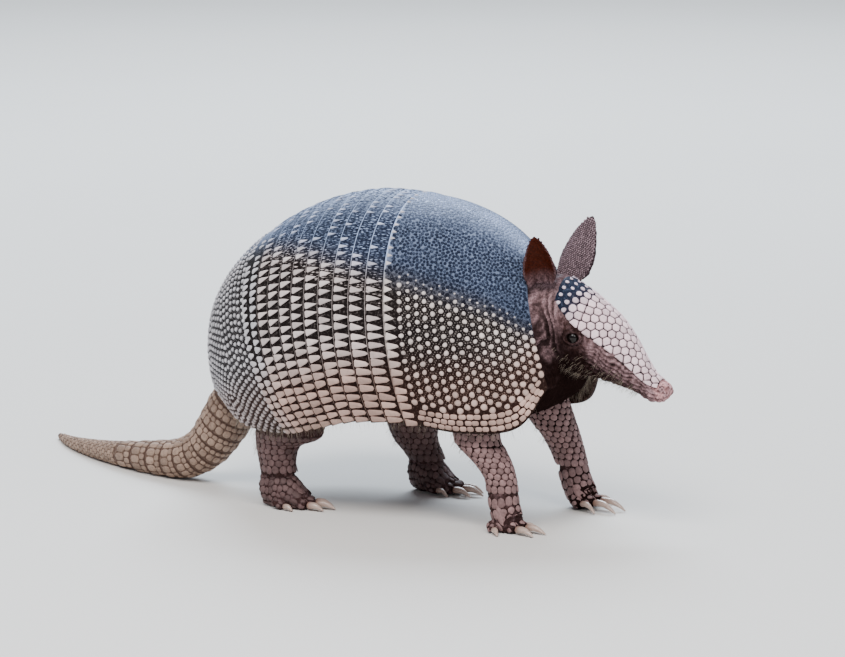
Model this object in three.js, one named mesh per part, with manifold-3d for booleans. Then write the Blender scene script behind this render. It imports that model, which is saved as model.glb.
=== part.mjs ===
// Nine-banded armadillo, walking, at life size. Millimetres, +X to the head, +Y to the animal's
// left, +Z up. Every part is a closed faceted solid of its own; neighbours stand CLEAR apart.
import * as THREE from 'three';
import { mergeVertices } from 'three/addons/utils/BufferGeometryUtils.js';
import Module from 'manifold-3d';

const wasm = await Module();
wasm.setup();

// ---------------------------------------------------------------- driving sizes

const CLEAR = 0.35;            // gap between touching parts
const PLATE = 3.2;             // thickness of the shell
const TRUNK_DEPTH = 4.8;       // how deep the trunk's skin lies under the shell's outside
const TRUNK_RIM = 0.96;        // share of the hoop the trunk's side follows
const BELLY_SAG = 4;           // how far the belly hangs under the trunk's sides
const BAND_LIFT = 0.7;         // how far a band's rear edge stands over the next band
const BANDS = 9;
const BAND_START = 0.2976;     // u of the shoulder shield's rear edge
const BAND_STEP = 0.0322;      // u taken by one band
const CUT = 0.0008;            // half the u left free between two plates
const SHELL_SIDES = 20;        // facets across the shell, rim to rim

// The shell is a row of hoops. Each stands on a station of these four lists, nape to tail root:
// the back's point (x, z), the rim's point (x, z), the half width, and the hoop's half sweep.
const BACK = [[105, 179], [79, 199], [50, 210], [18, 214], [-15, 214], [-48, 206],
  [-80, 190], [-108, 168], [-128, 141], [-137, 111], [-137.5, 80]];
const RIM = [[134, 98], [118, 72], [82, 66], [40, 69], [4, 68], [-22, 62],
  [-42, 56], [-62, 53], [-83, 52], [-103, 55], [-119, 62]];
const HALF_WIDTH = [42, 57, 68, 77, 84.5, 88, 85, 74, 58, 40, 23];
const SWEEP = [92, 106, 117, 125, 128, 130, 130, 128, 125, 116, 110];

// Head, from the back of the skull to the nose: bottom x, z; top x, z; half width.
const HEAD = [[111, 110, 112, 164, 19], [123, 105, 125, 167, 22.5], [136, 101, 139, 161, 23.5],
  [149, 100, 153.5, 151.5, 21], [161, 97.5, 167, 141, 17.3], [173, 94.5, 177.5, 128, 14],
  [182, 90.5, 185, 116, 11], [190.5, 87, 192, 106.5, 9.3], [198, 87, 199, 101, 8.6],
  [203, 90, 204, 97.5, 6.2]];
const HEAD_LENGTH = 110;
const SHIELD_FROM = 0.13;      // head shield, as shares of the head's length
const SHIELD_TO = 0.86;
const SHIELD_BORDER = [58, 74, 82, 84, 84, 80, 66];   // half angle it wraps over, rear to front
const SHIELD_PLATE = 1.6;

const NECK = [[84, 84, 74, 164, 42], [100, 92, 92, 166, 35], [112, 102, 106, 167, 26],
  [124, 109, 122, 164, 18]];

const EYE = { along: 0.258, angle: 91, radius: 4.2, depth: 2.7 };

// Tail: a path down from the root and back along the floor.
const TAIL_PATH = [[-108, 0, 74], [-124, 0, 59], [-136, 0, 41], [-149, 1, 25], [-168, 3, 14.8],
  [-195, 9, 11.4], [-229, 21, 8.6], [-263, 38, 6.2], [-294, 59, 4], [-319, 83, 2.2]];
const TAIL_RADIUS = [19, 18, 17, 15.4, 14, 11.8, 8.9, 6.4, 4.2, 2.2];
const TAIL_RINGS = 12;
const TAIL_RING_END = 0.66;    // share of the tail that has whole rings
const TAIL_STEP = 0.9;         // how far a ring's rear edge stands over the next
const TAIL_CUTS = [0, 0.275, 0.495, 0.715, 1];   // ends of its four lengths
const TAIL_GAP = 0.0006;

// Legs, top to ankle: centre x, y, z, half length, half width. Feet are set on the last ring.
const LEGS = {
  foreleg_right: [[77, -36, 94, 16, 13], [80.7, -40, 61, 16, 13.5], [86.5, -42, 53, 15.5, 12.8],
    [95, -43.5, 44, 12.8, 11.4], [100.5, -44.5, 35, 10.8, 10], [102.5, -45, 26, 10.8, 9.6]],
  foreleg_left: [[86, 36, 100, 16, 13], [96.5, 40, 64, 16.5, 13.5], [103, 43, 50, 13.6, 12.4],
    [107.5, 44.5, 39, 12, 11], [111, 45, 29, 11.2, 10]],
  hindleg_right: [[-62, -38, 84, 24, 15], [-59.5, -42, 52, 25, 15.5], [-67, -44, 42, 15.8, 13.2],
    [-67.5, -45, 31, 12.8, 11.5], [-66, -45, 23, 13, 11]],
  hindleg_left: [[-12, 38, 80, 22, 15], [-10, 43, 49, 18.5, 14.5], [-8, 44.5, 36, 16, 13],
    [-3, 45, 28, 14, 12], [1, 45, 22, 13, 11.2]],
};

// Toes, inner to outer: inward place, start and length forward, turn outwards, thickness, claw.
const FORE_TOES = [
  { inward: 7.6, from: 1, length: 9, turn: -14, thick: 3.7, claw: 10 },
  { inward: 3.4, from: 5, length: 11, turn: -4, thick: 4.3, claw: 15 },
  { inward: -3.4, from: 5, length: 10, turn: 6, thick: 4.3, claw: 15 },
  { inward: -8, from: -3, length: 7, turn: 38, thick: 3.5, claw: 10 },
];
const HIND_TOES = [
  { inward: 9, from: 4, length: 9, turn: -16, thick: 3.5, claw: 8 },
  { inward: 5.4, from: 12, length: 11, turn: -6, thick: 4.2, claw: 12 },
  { inward: 0, from: 13, length: 13, turn: 0, thick: 4.5, claw: 14 },
  { inward: -5.4, from: 12, length: 11, turn: 7, thick: 4.2, claw: 12 },
  { inward: -9.4, from: 1, length: 8, turn: 24, thick: 3.4, claw: 8 },
];
/** The toes of a foot that reaches: set further forward and higher, with the claws stretched. */
function reaching(toes, forward, stretch, high) {
  return toes.map((toe) => (
    { ...toe, from: toe.from + forward, claw: toe.claw + stretch, high }));
}
// Palms: forward, inward, height, half width, half height, from the ankle down to the toes' roots.
const FORE_PALM = [[0, 0, 26, 9.6, 10.4], [2, 0, 15, 10.4, 10], [6, 0, 6.8, 10.6, 8.8],
  [9.5, 0, 4.8, 9.6, 6.6]];
const FORE_REACH = [[0, 0, 29, 9.8, 10.6], [4, 0, 18, 10.2, 10.4], [10, 0, 8.2, 10.4, 10.2],
  [15, 0, 5.4, 9.6, 7.4]];
const HIND_PALM = [[-12.5, 0, 10.4, 6.8, 10.4], [-5, 0, 12, 10, 13], [4, 0, 11, 11.2, 12.6],
  [14, 0, 6.8, 11.6, 7.6], [19, 0, 5.4, 10.6, 6]];
const FEET = {
  forefoot_right: { leg: 'foreleg_right', side: -1, heading: -14, palm: FORE_PALM, toes: FORE_TOES },
  forefoot_left: { leg: 'foreleg_left', side: 1, heading: -14, palm: FORE_REACH,
    toes: reaching(FORE_TOES, 6, 4, 2.5) },
  hindfoot_right: { leg: 'hindleg_right', side: -1, heading: 4, palm: HIND_PALM, toes: HIND_TOES },
  hindfoot_left: { leg: 'hindleg_left', side: 1, heading: -6, palm: HIND_PALM,
    toes: reaching(HIND_TOES, 2, 2, 1) },
};

const EAR_ROLL = 150;          // degrees the leaf curls through at its root
const EAR_UNROLL = 0.62;       // share of that curl lost by the tip
const EAR_THICK = 1.2;
const EAR_ROOT = 0.42;         // width kept at the root and at the tip, as shares of the widest
const EAR_TIP = 0.06;
const EARS = {
  ear_right: { base: [117, -17, 162], tip: [117.5, -30, 196], opens: [0.35, -0.85, 0.3], width: 19 },
  ear_left: { base: [118.5, 15, 160], tip: [132, 31, 203], opens: [0.05, 0.95, 0.1], width: 21 },
};

// ---------------------------------------------------------------- curves and meshes

const rad = THREE.MathUtils.degToRad;

/** Smooth curve through equally spaced stations; t runs from 0 to 1. */
function through(stations) {
  const last = stations.length - 1;
  const list = stations.map((s) => (Array.isArray(s) ? s : [s]));
  const at = (i, k) => {
    if (i < 0) return 2 * list[0][k] - list[1][k];
    if (i > last) return 2 * list[last][k] - list[last - 1][k];
    return list[i][k];
  };
  return (t) => {
    const s = THREE.MathUtils.clamp(t, 0, 1) * last;
    const i = Math.min(Math.floor(s), last - 1);
    const f = s - i;
    return list[0].map((_, k) => {
      const [a, b, c, d] = [at(i - 1, k), at(i, k), at(i + 1, k), at(i + 2, k)];
      return 0.5 * (2 * b + (c - a) * f + (2 * a - 5 * b + 4 * c - d) * f * f
        + (3 * b - a - 3 * c + d) * f ** 3);
    });
  };
}

/** Turns a mesh right side out if its volume comes out negative. */
function facingOut(positions, triangles) {
  const [a, b, c] = [new THREE.Vector3(), new THREE.Vector3(), new THREE.Vector3()];
  let volume = 0;
  for (const [i, j, k] of triangles) {
    volume += a.copy(positions[i]).dot(b.copy(positions[j]).cross(c.copy(positions[k])));
  }
  const sorted = volume < 0 ? triangles.map(([i, j, k]) => [i, k, j]) : triangles;
  const geometry = new THREE.BufferGeometry();
  geometry.setAttribute('position',
    new THREE.Float32BufferAttribute(positions.flatMap((p) => [p.x, p.y, p.z]), 3));
  geometry.setIndex(sorted.flat());
  return geometry;
}

/** Closed body through rings of equal count, with a flat fan over each end. */
function loft(rings) {
  const sides = rings[0].length;
  const positions = rings.flat();
  const triangles = [];
  for (let i = 0; i + 1 < rings.length; i++) {
    for (let j = 0; j < sides; j++) {
      const [a, b] = [i * sides + j, i * sides + (j + 1) % sides];
      triangles.push([a, b, b + sides], [a, b + sides, a + sides]);
    }
  }
  for (const [start, flip] of [[0, true], [(rings.length - 1) * sides, false]]) {
    const middle = new THREE.Vector3();
    for (let j = 0; j < sides; j++) middle.addScaledVector(positions[start + j], 1 / sides);
    positions.push(middle);
    const m = positions.length - 1;
    for (let j = 0; j < sides; j++) {
      const [a, b] = [start + j, start + (j + 1) % sides];
      triangles.push(flip ? [b, a, m] : [a, b, m]);
    }
  }
  return facingOut(positions, triangles);
}

/** Closed wall between an outer and an inner grid of the same size. */
function wall(outer, inner) {
  const [rows, columns] = [outer.length, outer[0].length];
  const positions = [...outer.flat(), ...inner.flat()];
  const shift = rows * columns;
  const triangles = [];
  for (let i = 0; i + 1 < rows; i++) {
    for (let j = 0; j + 1 < columns; j++) {
      const a = i * columns + j;
      const [b, c, d] = [a + 1, a + columns + 1, a + columns];
      triangles.push([a, b, c], [a, c, d]);
      triangles.push([a + shift, c + shift, b + shift], [a + shift, d + shift, c + shift]);
    }
  }
  const edge = (a, b) => triangles.push([a, a + shift, b + shift], [a, b + shift, b]);
  for (let j = 0; j + 1 < columns; j++) {
    edge(j, j + 1);
    edge((rows - 1) * columns + j + 1, (rows - 1) * columns + j);
  }
  for (let i = 0; i + 1 < rows; i++) {
    edge((i + 1) * columns, i * columns);
    edge(i * columns + columns - 1, (i + 1) * columns + columns - 1);
  }
  return facingOut(positions, triangles);
}

function steps(count, from = 0, to = 1) {
  return Array.from({ length: count + 1 }, (_, i) => from + ((to - from) * i) / count);
}

/** Cosine and sine of equal turns round a closed ring. */
function turns(sides) {
  return Array.from({ length: sides }, (_, k) => {
    const a = (k / sides) * 2 * Math.PI;
    return [Math.cos(a), Math.sin(a)];
  });
}

/** Frame of a path of [x, y, z, ...] at t: its point, the level way across, and the way up. */
function frameAt(at, t, e = 0.015) {
  const [x, y, z] = at(t);
  const [ax, ay, az] = at(Math.max(t - e, 0));
  const [bx, by, bz] = at(Math.min(t + e, 1));
  const along = new THREE.Vector3(bx - ax, by - ay, bz - az).normalize();
  const across = new THREE.Vector3(-along.y, along.x, 0).normalize();
  const up = new THREE.Vector3().crossVectors(along, across);
  return { point: new THREE.Vector3(x, y, z), across, up };
}

function toSolid(geometry) {
  const bare = geometry.clone();
  for (const name of ['normal', 'uv']) bare.deleteAttribute(name);
  const merged = mergeVertices(bare, 1e-4);
  return new wasm.Manifold(new wasm.Mesh({
    numProp: 3,
    vertProperties: new Float32Array(merged.attributes.position.array),
    triVerts: new Uint32Array(merged.index.array),
  }));
}

function toGeometry(solid) {
  const mesh = solid.getMesh();
  const geometry = new THREE.BufferGeometry();
  geometry.setAttribute('position', new THREE.BufferAttribute(mesh.vertProperties, 3));
  geometry.setIndex(new THREE.BufferAttribute(mesh.triVerts, 1));
  return geometry;
}

/** A geometry with others cut out of it; crumbs that a cut leaves are dropped. */
function without(geometry, ...cutters) {
  const body = cutters.reduce((rest, c) => rest.subtract(toSolid(c)), toSolid(geometry));
  return toGeometry(body.decompose().sort((a, b) => b.volume() - a.volume())[0]);
}

// ---------------------------------------------------------------- shell

const backAt = through(BACK);
const rimAt = through(RIM);
const widthAt = through(HALF_WIDTH);
const sweepAt = through(SWEEP);

/** Point of the shell's outside: u from nape to tail, v from the right rim (-1) to the left (1). */
function shellPoint(u, v) {
  const [top, rim, width, sweep] = [backAt(u), rimAt(u), widthAt(u)[0], rad(sweepAt(u)[0])];
  const fall = (1 - Math.cos(v * sweep)) / (1 - Math.cos(sweep));
  return new THREE.Vector3(top[0] + (rim[0] - top[0]) * fall, width * Math.sin(v * sweep),
    top[1] + (rim[1] - top[1]) * fall);
}

/** The same point moved out along the surface's normal. */
function shellOffset(u, v, out) {
  const e = 0.004;
  const [u0, u1] = [Math.max(u - e, 0), Math.min(u + e, 1)];
  const along = shellPoint(u1, v).sub(shellPoint(u0, v));
  const across = shellPoint(u, v + e).sub(shellPoint(u, v - e));
  const normal = across.cross(along).normalize();
  return shellPoint(u, v).addScaledVector(normal, out);
}

/** One plate of the shell between two hoops; its rear edge may be lifted. */
function plate(from, to, rows, lift = 0) {
  const grid = (out, rise) => steps(rows, from, to).map((u) => steps(SHELL_SIDES, -1, 1)
    .map((v) => shellOffset(u, v, out + rise * ((u - from) / (to - from)))));
  return wall(grid(0, lift), grid(-PLATE, 0));
}

const bandEdge = (k) => BAND_START + BAND_STEP * k;

/** The room the rear shield takes, with the gap round it. */
function rumpRoom() {
  const beyond = 1.012;
  const over = 3;
  const grid = (out) => steps(9, bandEdge(BANDS - 1), 1).map((u) => (
    steps(SHELL_SIDES, -beyond, beyond).map((v) => shellOffset(u, v, out))));
  return wall(grid(over), grid(-PLATE - 3 * CLEAR));
}

// ---------------------------------------------------------------- trunk, neck and head

/** Trunk: the hoops again, inside the shell, closed under the belly. */
function trunkBody(grow) {
  const inset = TRUNK_DEPTH - grow;
  const belly = [0.72, 0.36, 0, -0.36, -0.72];
  const sag = BELLY_SAG + grow;
  const rings = steps(13, 0.045, 0.985).map((u) => {
    const arch = steps(16, -TRUNK_RIM, TRUNK_RIM).map((v) => shellOffset(u, v, -inset));
    const end = arch[arch.length - 1];
    const under = belly.map((k) => new THREE.Vector3(end.x, end.y * k, end.z - sag * (1 - k * k)));
    return [...arch, ...under];
  });
  return loft([...chestRings(rings[0]), ...rings]);
}

/** Chest: the first ring drawn in and carried forward, so that the front swells to the neck. */
function chestRings(first) {
  const centre = first.reduce((sum, p) => sum.addScaledVector(p, 1 / first.length),
    new THREE.Vector3());
  return [[0.62, 12], [0.86, 8]].map(([keep, forward]) => first.map((p) => (
    p.clone().sub(centre).multiplyScalar(keep).add(centre).add(new THREE.Vector3(forward, 0, 0)))));
}

/** Ring in the plane through a bottom and a top point of the side view. */
function sideRing([bottomX, bottomZ, topX, topZ, half], sides, grow) {
  const [cx, cz] = [(bottomX + topX) / 2, (bottomZ + topZ) / 2];
  const [dx, dz] = [(topX - bottomX) / 2, (topZ - bottomZ) / 2];
  const stretch = 1 + grow / Math.hypot(dx, dz);
  return turns(sides).map(([c, s]) => (
    new THREE.Vector3(cx + dx * c * stretch, -(half + grow) * s, cz + dz * c * stretch)));
}

const headAt = through(HEAD);
const neckAt = through(NECK);

/** Head's surface, s from the skull's back to the nose, angle from the top towards the right. */
function headPoint(s, degrees, out = 0) {
  const [bottomX, bottomZ, topX, topZ, half] = headAt(s);
  const [dx, dz] = [(topX - bottomX) / 2, (topZ - bottomZ) / 2];
  const reach = 1 + out / Math.hypot(dx, dz);
  const a = rad(degrees);
  return new THREE.Vector3((bottomX + topX) / 2 + dx * Math.cos(a) * reach,
    -(half + out) * Math.sin(a), (bottomZ + topZ) / 2 + dz * Math.cos(a) * reach);
}

function headBody(grow) {
  return loft(steps(12).map((s) => sideRing(headAt(s), 16, grow)));
}

function neckBody(grow) {
  return loft(steps(5).map((s) => sideRing(neckAt(s), 16, grow)));
}

/** Head shield between two depths; margin widens it on all sides. */
function shieldBody(high, low, margin) {
  const border = through(SHIELD_BORDER);
  const share = margin / HEAD_LENGTH;
  const grid = (out) => steps(8, SHIELD_FROM - share, SHIELD_TO + share).map((s) => {
    const half = border((s - SHIELD_FROM) / (SHIELD_TO - SHIELD_FROM))[0]
      + THREE.MathUtils.radToDeg(margin / headAt(s)[4]);
    return steps(8, -1, 1).map((t) => headPoint(s, t * half, out));
  });
  return wall(grid(high), grid(low));
}

function eyeBall(side, grow) {
  const ball = new THREE.SphereGeometry(EYE.radius + grow, 10, 7);
  const centre = headPoint(EYE.along, EYE.angle * side, -EYE.depth);
  return ball.translate(centre.x, centre.y, centre.z);
}

// ---------------------------------------------------------------- ears

/** Ear: a leaf rolled into a scoop. Base point, tip point, the way it opens, width and roll. */
function earLeaf({ base, tip, opens, width }) {
  const origin = new THREE.Vector3(...base);
  const axis = new THREE.Vector3(...tip).sub(origin);
  const length = axis.length();
  axis.normalize();
  const face = new THREE.Vector3(...opens);
  face.addScaledVector(axis, -face.dot(axis)).normalize();
  const side = new THREE.Vector3().crossVectors(axis, face);
  const outline = (s) => EAR_ROOT * (1 - s) ** 2 + EAR_TIP * s
    + 0.98 * Math.sin(Math.PI * s ** 0.8) ** 0.7;
  const point = (s, t, out) => {
    const half = (width / 2) * outline(s);
    const sweep = (rad(EAR_ROLL) * (1 - EAR_UNROLL * s)) / 2;
    const radius = half / Math.sin(Math.min(sweep, Math.PI / 2));
    const a = t * sweep;
    return origin.clone().addScaledVector(axis, s * length)
      .addScaledVector(side, (radius - out) * Math.sin(a))
      .addScaledVector(face, radius * (1 - Math.cos(a)) + out * Math.cos(a));
  };
  const grid = (out) => steps(5).map((s) => steps(6, -1, 1).map((t) => point(s, t, out)));
  return wall(grid(EAR_THICK / 2), grid(-EAR_THICK / 2));
}

// ---------------------------------------------------------------- legs and feet

/** Leg: level rings down a path of [x, y, z, half length, half width]. */
function legBody(path) {
  return loft(steps(6).map(through(path)).map(([x, y, z, a, b]) => (
    turns(10).map(([c, s]) => new THREE.Vector3(x + a * c, y + b * s, z)))));
}

/** Round member along a path of [x, y, z, half width, half height]. */
function limb(path, rows, sides) {
  const at = through(path);
  return loft(steps(rows).map((t) => {
    const [wide, high] = at(t).slice(3);
    const { point, across, up } = frameAt(at, t);
    return turns(sides).map(([c, s]) => (
      point.clone().addScaledVector(across, wide * c).addScaledVector(up, high * s)));
  }));
}

/** Place in a foot: forward and inward distances from the ankle, and a height. */
function footPlace({ ankle, heading, side }, forward, inward, height) {
  const a = rad(heading);
  const w = -side * inward;
  return [ankle[0] + forward * Math.cos(a) - w * Math.sin(a),
    ankle[1] + forward * Math.sin(a) + w * Math.cos(a), height];
}

/** Paths of one toe and of its claw. */
function toePaths(foot, toe) {
  const turn = rad(toe.turn);
  const reach = (d, h) => footPlace(foot, toe.from + d * Math.cos(turn),
    toe.inward - d * Math.sin(turn), h);
  const [length, claw] = [toe.length, toe.claw];
  const high = toe.high ?? 0;
  const flesh = [
    [...reach(0, toe.thick + 2.6 + high * 1.3), toe.thick, toe.thick],
    [...reach(length * 0.55, toe.thick * 0.92 + high), toe.thick * 1.04, toe.thick],
    [...reach(length, toe.thick * 0.66 + high), toe.thick * 0.8, toe.thick * 0.76],
  ];
  const start = length + 4 * CLEAR;
  const horn = [
    [...reach(start, toe.thick * 0.78 + high), toe.thick * 0.66, toe.thick * 0.6],
    [...reach(start + claw * 0.4, toe.thick * 0.9 + high * 0.9), toe.thick * 0.56, toe.thick * 0.5],
    [...reach(start + claw * 0.75, toe.thick * 0.6 + high * 0.5), toe.thick * 0.36, toe.thick * 0.3],
    [...reach(start + claw, 0.9), 0.5, 0.4],
  ];
  return { flesh, horn };
}

/** Foot: palm and toes joined, cut flat along the floor, clear of the leg over it. */
function footBody(foot, leg) {
  const palm = foot.palm.map(([d, w, h, wide, high]) => [...footPlace(foot, d, w, h), wide, high]);
  let body = toSolid(limb(palm, 4, 10));
  for (const toe of foot.toes) body = body.add(toSolid(limb(toePaths(foot, toe).flesh, 2, 7)));
  const floor = new THREE.BoxGeometry(400, 400, 40);
  floor.translate(foot.ankle[0], foot.ankle[1], -20);
  return toGeometry(body.subtract(toSolid(floor)).subtract(toSolid(leg)));
}

// ---------------------------------------------------------------- tail

const tailAt = through(TAIL_PATH);
const tailRadiusAt = through(TAIL_RADIUS);

/** Tail's radius at t: each ring swells a little towards its rear edge. */
function ringedRadius(t) {
  const plain = tailRadiusAt(t)[0];
  const place = (t / TAIL_RING_END) * TAIL_RINGS;
  if (place >= TAIL_RINGS) return plain;
  return plain + TAIL_STEP * (place - Math.floor(place) - 0.5);
}

/** One length of the tail, from t to t, resting flat where it meets the floor. */
function tailLength(from, to, sides) {
  const edge = 1e-3;
  const marks = [from];
  const pitch = TAIL_RING_END / TAIL_RINGS;
  for (let k = 1; k <= TAIL_RINGS; k++) {
    for (const t of [k * pitch - edge, k * pitch + edge]) if (t > from && t < to) marks.push(t);
  }
  const plain = steps(7, TAIL_RING_END + 0.03, 1).filter((t) => t > from && t < to);
  marks.push(...plain, to);
  const rings = marks.map((t) => {
    const { point, across, up } = frameAt(tailAt, t, 0.01);
    const r = ringedRadius(t);
    return turns(sides).map(([c, s]) => {
      const p = point.clone().addScaledVector(across, r * c).addScaledVector(up, r * s);
      p.z = Math.max(p.z, 0);
      return p;
    });
  });
  return loft(rings);
}

// ---------------------------------------------------------------- finishes

const finish = (color, roughness, metalness = 0) => (
  new THREE.MeshStandardMaterial({ color, roughness, metalness }));
const shellHorn = finish(0x77706c, 0.45);
const headHorn = finish(0xc9aa9c, 0.5);
const skin = finish(0x7a5a52, 0.7);
const legSkin = finish(0x6a4c48, 0.65);
const earSkin = finish(0x6e2f1c, 0.6);
const tailHorn = finish(0x8c6c56, 0.6);
const clawHorn = finish(0xd8b7a2, 0.35);
const eyeGloss = finish(0x0c0a0a, 0.08);

// ---------------------------------------------------------------- the whole animal

const animal = new THREE.Group();

function add(name, geometry, material) {
  const mesh = new THREE.Mesh(geometry, material);
  mesh.name = name;
  animal.add(mesh);
}

function addShell() {
  add('scapular_shield', plate(0, bandEdge(0) - CUT, 6), shellHorn);
  for (let k = 1; k <= BANDS; k++) {
    add(`band_${k}`, plate(bandEdge(k - 1) + CUT, bandEdge(k) - CUT, 1, BAND_LIFT), shellHorn);
  }
  add('pelvic_shield', plate(bandEdge(BANDS) + CUT, 1, 8), shellHorn);
}

function addBody() {
  const trunkCut = trunkBody(CLEAR);
  const headCut = headBody(CLEAR);
  const shieldCut = shieldBody(4, -SHIELD_PLATE - CLEAR, CLEAR);
  add('trunk', trunkBody(0), skin);
  add('neck', without(neckBody(0), trunkCut, headCut), skin);
  add('head', without(headBody(0), trunkCut, shieldCut, eyeBall(1, CLEAR), eyeBall(-1, CLEAR)), skin);
  add('head_shield', shieldBody(0.2, -SHIELD_PLATE, 0), headHorn);
  add('eye_right', eyeBall(1, 0), eyeGloss);
  add('eye_left', eyeBall(-1, 0), eyeGloss);
  for (const [name, ear] of Object.entries(EARS)) {
    add(name, without(earLeaf(ear), headCut, neckBody(CLEAR), shieldCut), earSkin);
  }
  TAIL_CUTS.slice(1).forEach((end, k) => {
    const body = tailLength(TAIL_CUTS[k] + TAIL_GAP, end - TAIL_GAP, 10);
    add(`tail_${k + 1}`, k ? body : without(body, trunkCut), tailHorn);
  });
}

function addLegs() {
  const cuts = [trunkBody(CLEAR), rumpRoom()];
  for (const [name, path] of Object.entries(LEGS)) {
    add(name, without(legBody(path), ...cuts), legSkin);
  }
  for (const [name, spec] of Object.entries(FEET)) {
    const path = LEGS[spec.leg];
    const foot = { ...spec, ankle: path[path.length - 1] };
    const grown = path.map(([x, y, z, a, b], i) => (
      [x, y, i === path.length - 1 ? z - CLEAR : z, a + 3, b + 3]));
    add(name, footBody(foot, legBody(grown)), legSkin);
    foot.toes.forEach((toe, k) => {
      const claw = limb(toePaths(foot, toe).horn, 3, 5);
      add(`${name.replace('foot', 'claw')}_${k + 1}`, claw, clawHorn);
    });
  }
}

addShell();
addBody();
addLegs();

// The origin is under the middle of the whole animal, on the floor.
const box = new THREE.Box3().setFromObject(animal);
const middle = box.getCenter(new THREE.Vector3());
animal.position.set(-middle.x, -middle.y, -box.min.z);

export default animal;
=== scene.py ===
"""Nine-banded armadillo, walking: the surface of the still model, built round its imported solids.

Sizes are millimetres in the solids' own frame (+X to the head, +Y to the animal's left, +Z up).
The finished meshes are in metres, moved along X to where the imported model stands.
"""
import math
from functools import partial

import bpy
import numpy as np
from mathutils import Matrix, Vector


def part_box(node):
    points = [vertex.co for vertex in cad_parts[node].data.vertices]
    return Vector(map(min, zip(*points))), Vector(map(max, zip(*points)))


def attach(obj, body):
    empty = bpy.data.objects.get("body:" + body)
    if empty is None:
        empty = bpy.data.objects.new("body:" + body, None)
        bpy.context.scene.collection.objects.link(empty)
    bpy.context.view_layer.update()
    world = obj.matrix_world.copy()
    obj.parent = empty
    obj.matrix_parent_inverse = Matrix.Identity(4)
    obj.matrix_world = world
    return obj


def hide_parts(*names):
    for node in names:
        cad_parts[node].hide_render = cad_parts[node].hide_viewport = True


bl_info = {
    "name": "Nine-banded armadillo",
    "version": (1, 0, 0),
    "blender": (4, 5, 0),
    "location": "View3D > Sidebar > Armadillo",
    "description": "Shell, skin, scales and claws of a walking armadillo",
    "category": "Add Mesh",
}

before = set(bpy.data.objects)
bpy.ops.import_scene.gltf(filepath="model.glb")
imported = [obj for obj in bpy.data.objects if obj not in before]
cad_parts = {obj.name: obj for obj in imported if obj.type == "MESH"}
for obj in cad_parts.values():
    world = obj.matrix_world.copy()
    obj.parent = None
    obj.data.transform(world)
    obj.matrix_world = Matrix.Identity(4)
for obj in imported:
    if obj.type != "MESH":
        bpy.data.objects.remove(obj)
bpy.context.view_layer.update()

# ---- driving sizes

MM = 0.001
PLATE = 3.2                  # thickness of the shell
TRUNK_DEPTH = 4.8            # how deep the trunk lies under the shell's outside
TRUNK_RIM = 0.96             # share of the shell's sweep that the trunk fills
BELLY_SAG = 4.0              # how far the belly hangs under the line between its rims
BANDS = 9
BAND_START = 0.2976          # u of the shoulder shield's rear edge
BAND_STEP = 0.0322           # u taken by one band

# Hoops of the shell, nape to tail root: back (x, z), rim (x, z), half width, half sweep.
BACK = [[105, 179], [79, 199], [50, 210], [18, 214], [-15, 214], [-48, 206],
        [-80, 190], [-108, 168], [-128, 141], [-137, 111], [-137.5, 80]]
RIM = [[134, 98], [118, 72], [82, 66], [40, 69], [4, 68], [-22, 62],
       [-42, 56], [-62, 53], [-83, 52], [-103, 55], [-119, 62]]
HALF_WIDTH = [42, 57, 68, 77, 84.5, 88, 85, 74, 58, 40, 23]
SWEEP = [92, 106, 117, 125, 128, 130, 130, 128, 125, 116, 110]

# Head, skull to nose: bottom x, z; top x, z; half width. Its shield covers part of it.
HEAD = [[111, 110, 112, 164, 19], [123, 105, 125, 167, 22.5], [136, 101, 139, 161, 23.5],
        [149, 100, 153.5, 151.5, 21], [161, 97.5, 167, 141, 17.3], [173, 94.5, 177.5, 128, 14],
        [182, 90.5, 185, 116, 11], [190.5, 87, 192, 106.5, 9.3], [198, 87, 199, 101, 8.6],
        [203, 90, 204, 97.5, 6.2]]
SHIELD_FROM = 0.13           # shares of the head's length between which its shield lies
SHIELD_TO = 0.86
SHIELD_BORDER = [58, 74, 82, 84, 84, 80, 66]
SHIELD_PLATE = 1.6           # thickness of the head shield
NECK = [[84, 84, 74, 164, 42], [100, 92, 92, 166, 35], [112, 102, 106, 167, 26],
        [124, 109, 122, 164, 18]]
EYE_ALONG = 0.258
EYE_ANGLE = 91
EYE_RADIUS = 4.2
EYE_DEPTH = 2.7
NOSTRIL = (0.985, 50)        # share of the head's length, degrees from its top
MOUTH_ANGLE = 137

TAIL_PATH = [[-108, 0, 74], [-124, 0, 59], [-136, 0, 41], [-149, 1, 25], [-168, 3, 14.8],
             [-195, 9, 11.4], [-229, 21, 8.6], [-263, 38, 6.2], [-294, 59, 4], [-319, 83, 2.2]]
TAIL_RADIUS = [19, 18, 17, 15.4, 14, 11.8, 8.9, 6.4, 4.2, 2.2]
TAIL_RINGS = 12
TAIL_RING_END = 0.66         # share of the tail's length that has rings
TAIL_PITCH = 3.6             # mm from one scale to the next past the rings
# Rows of scales on each ring: middle and length as shares of the ring, width, how far astray.
TAIL_ROWS = ((0.68, 0.5, 6.0, 0.0), (0.27, 0.3, 4.4, 0.5))

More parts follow.
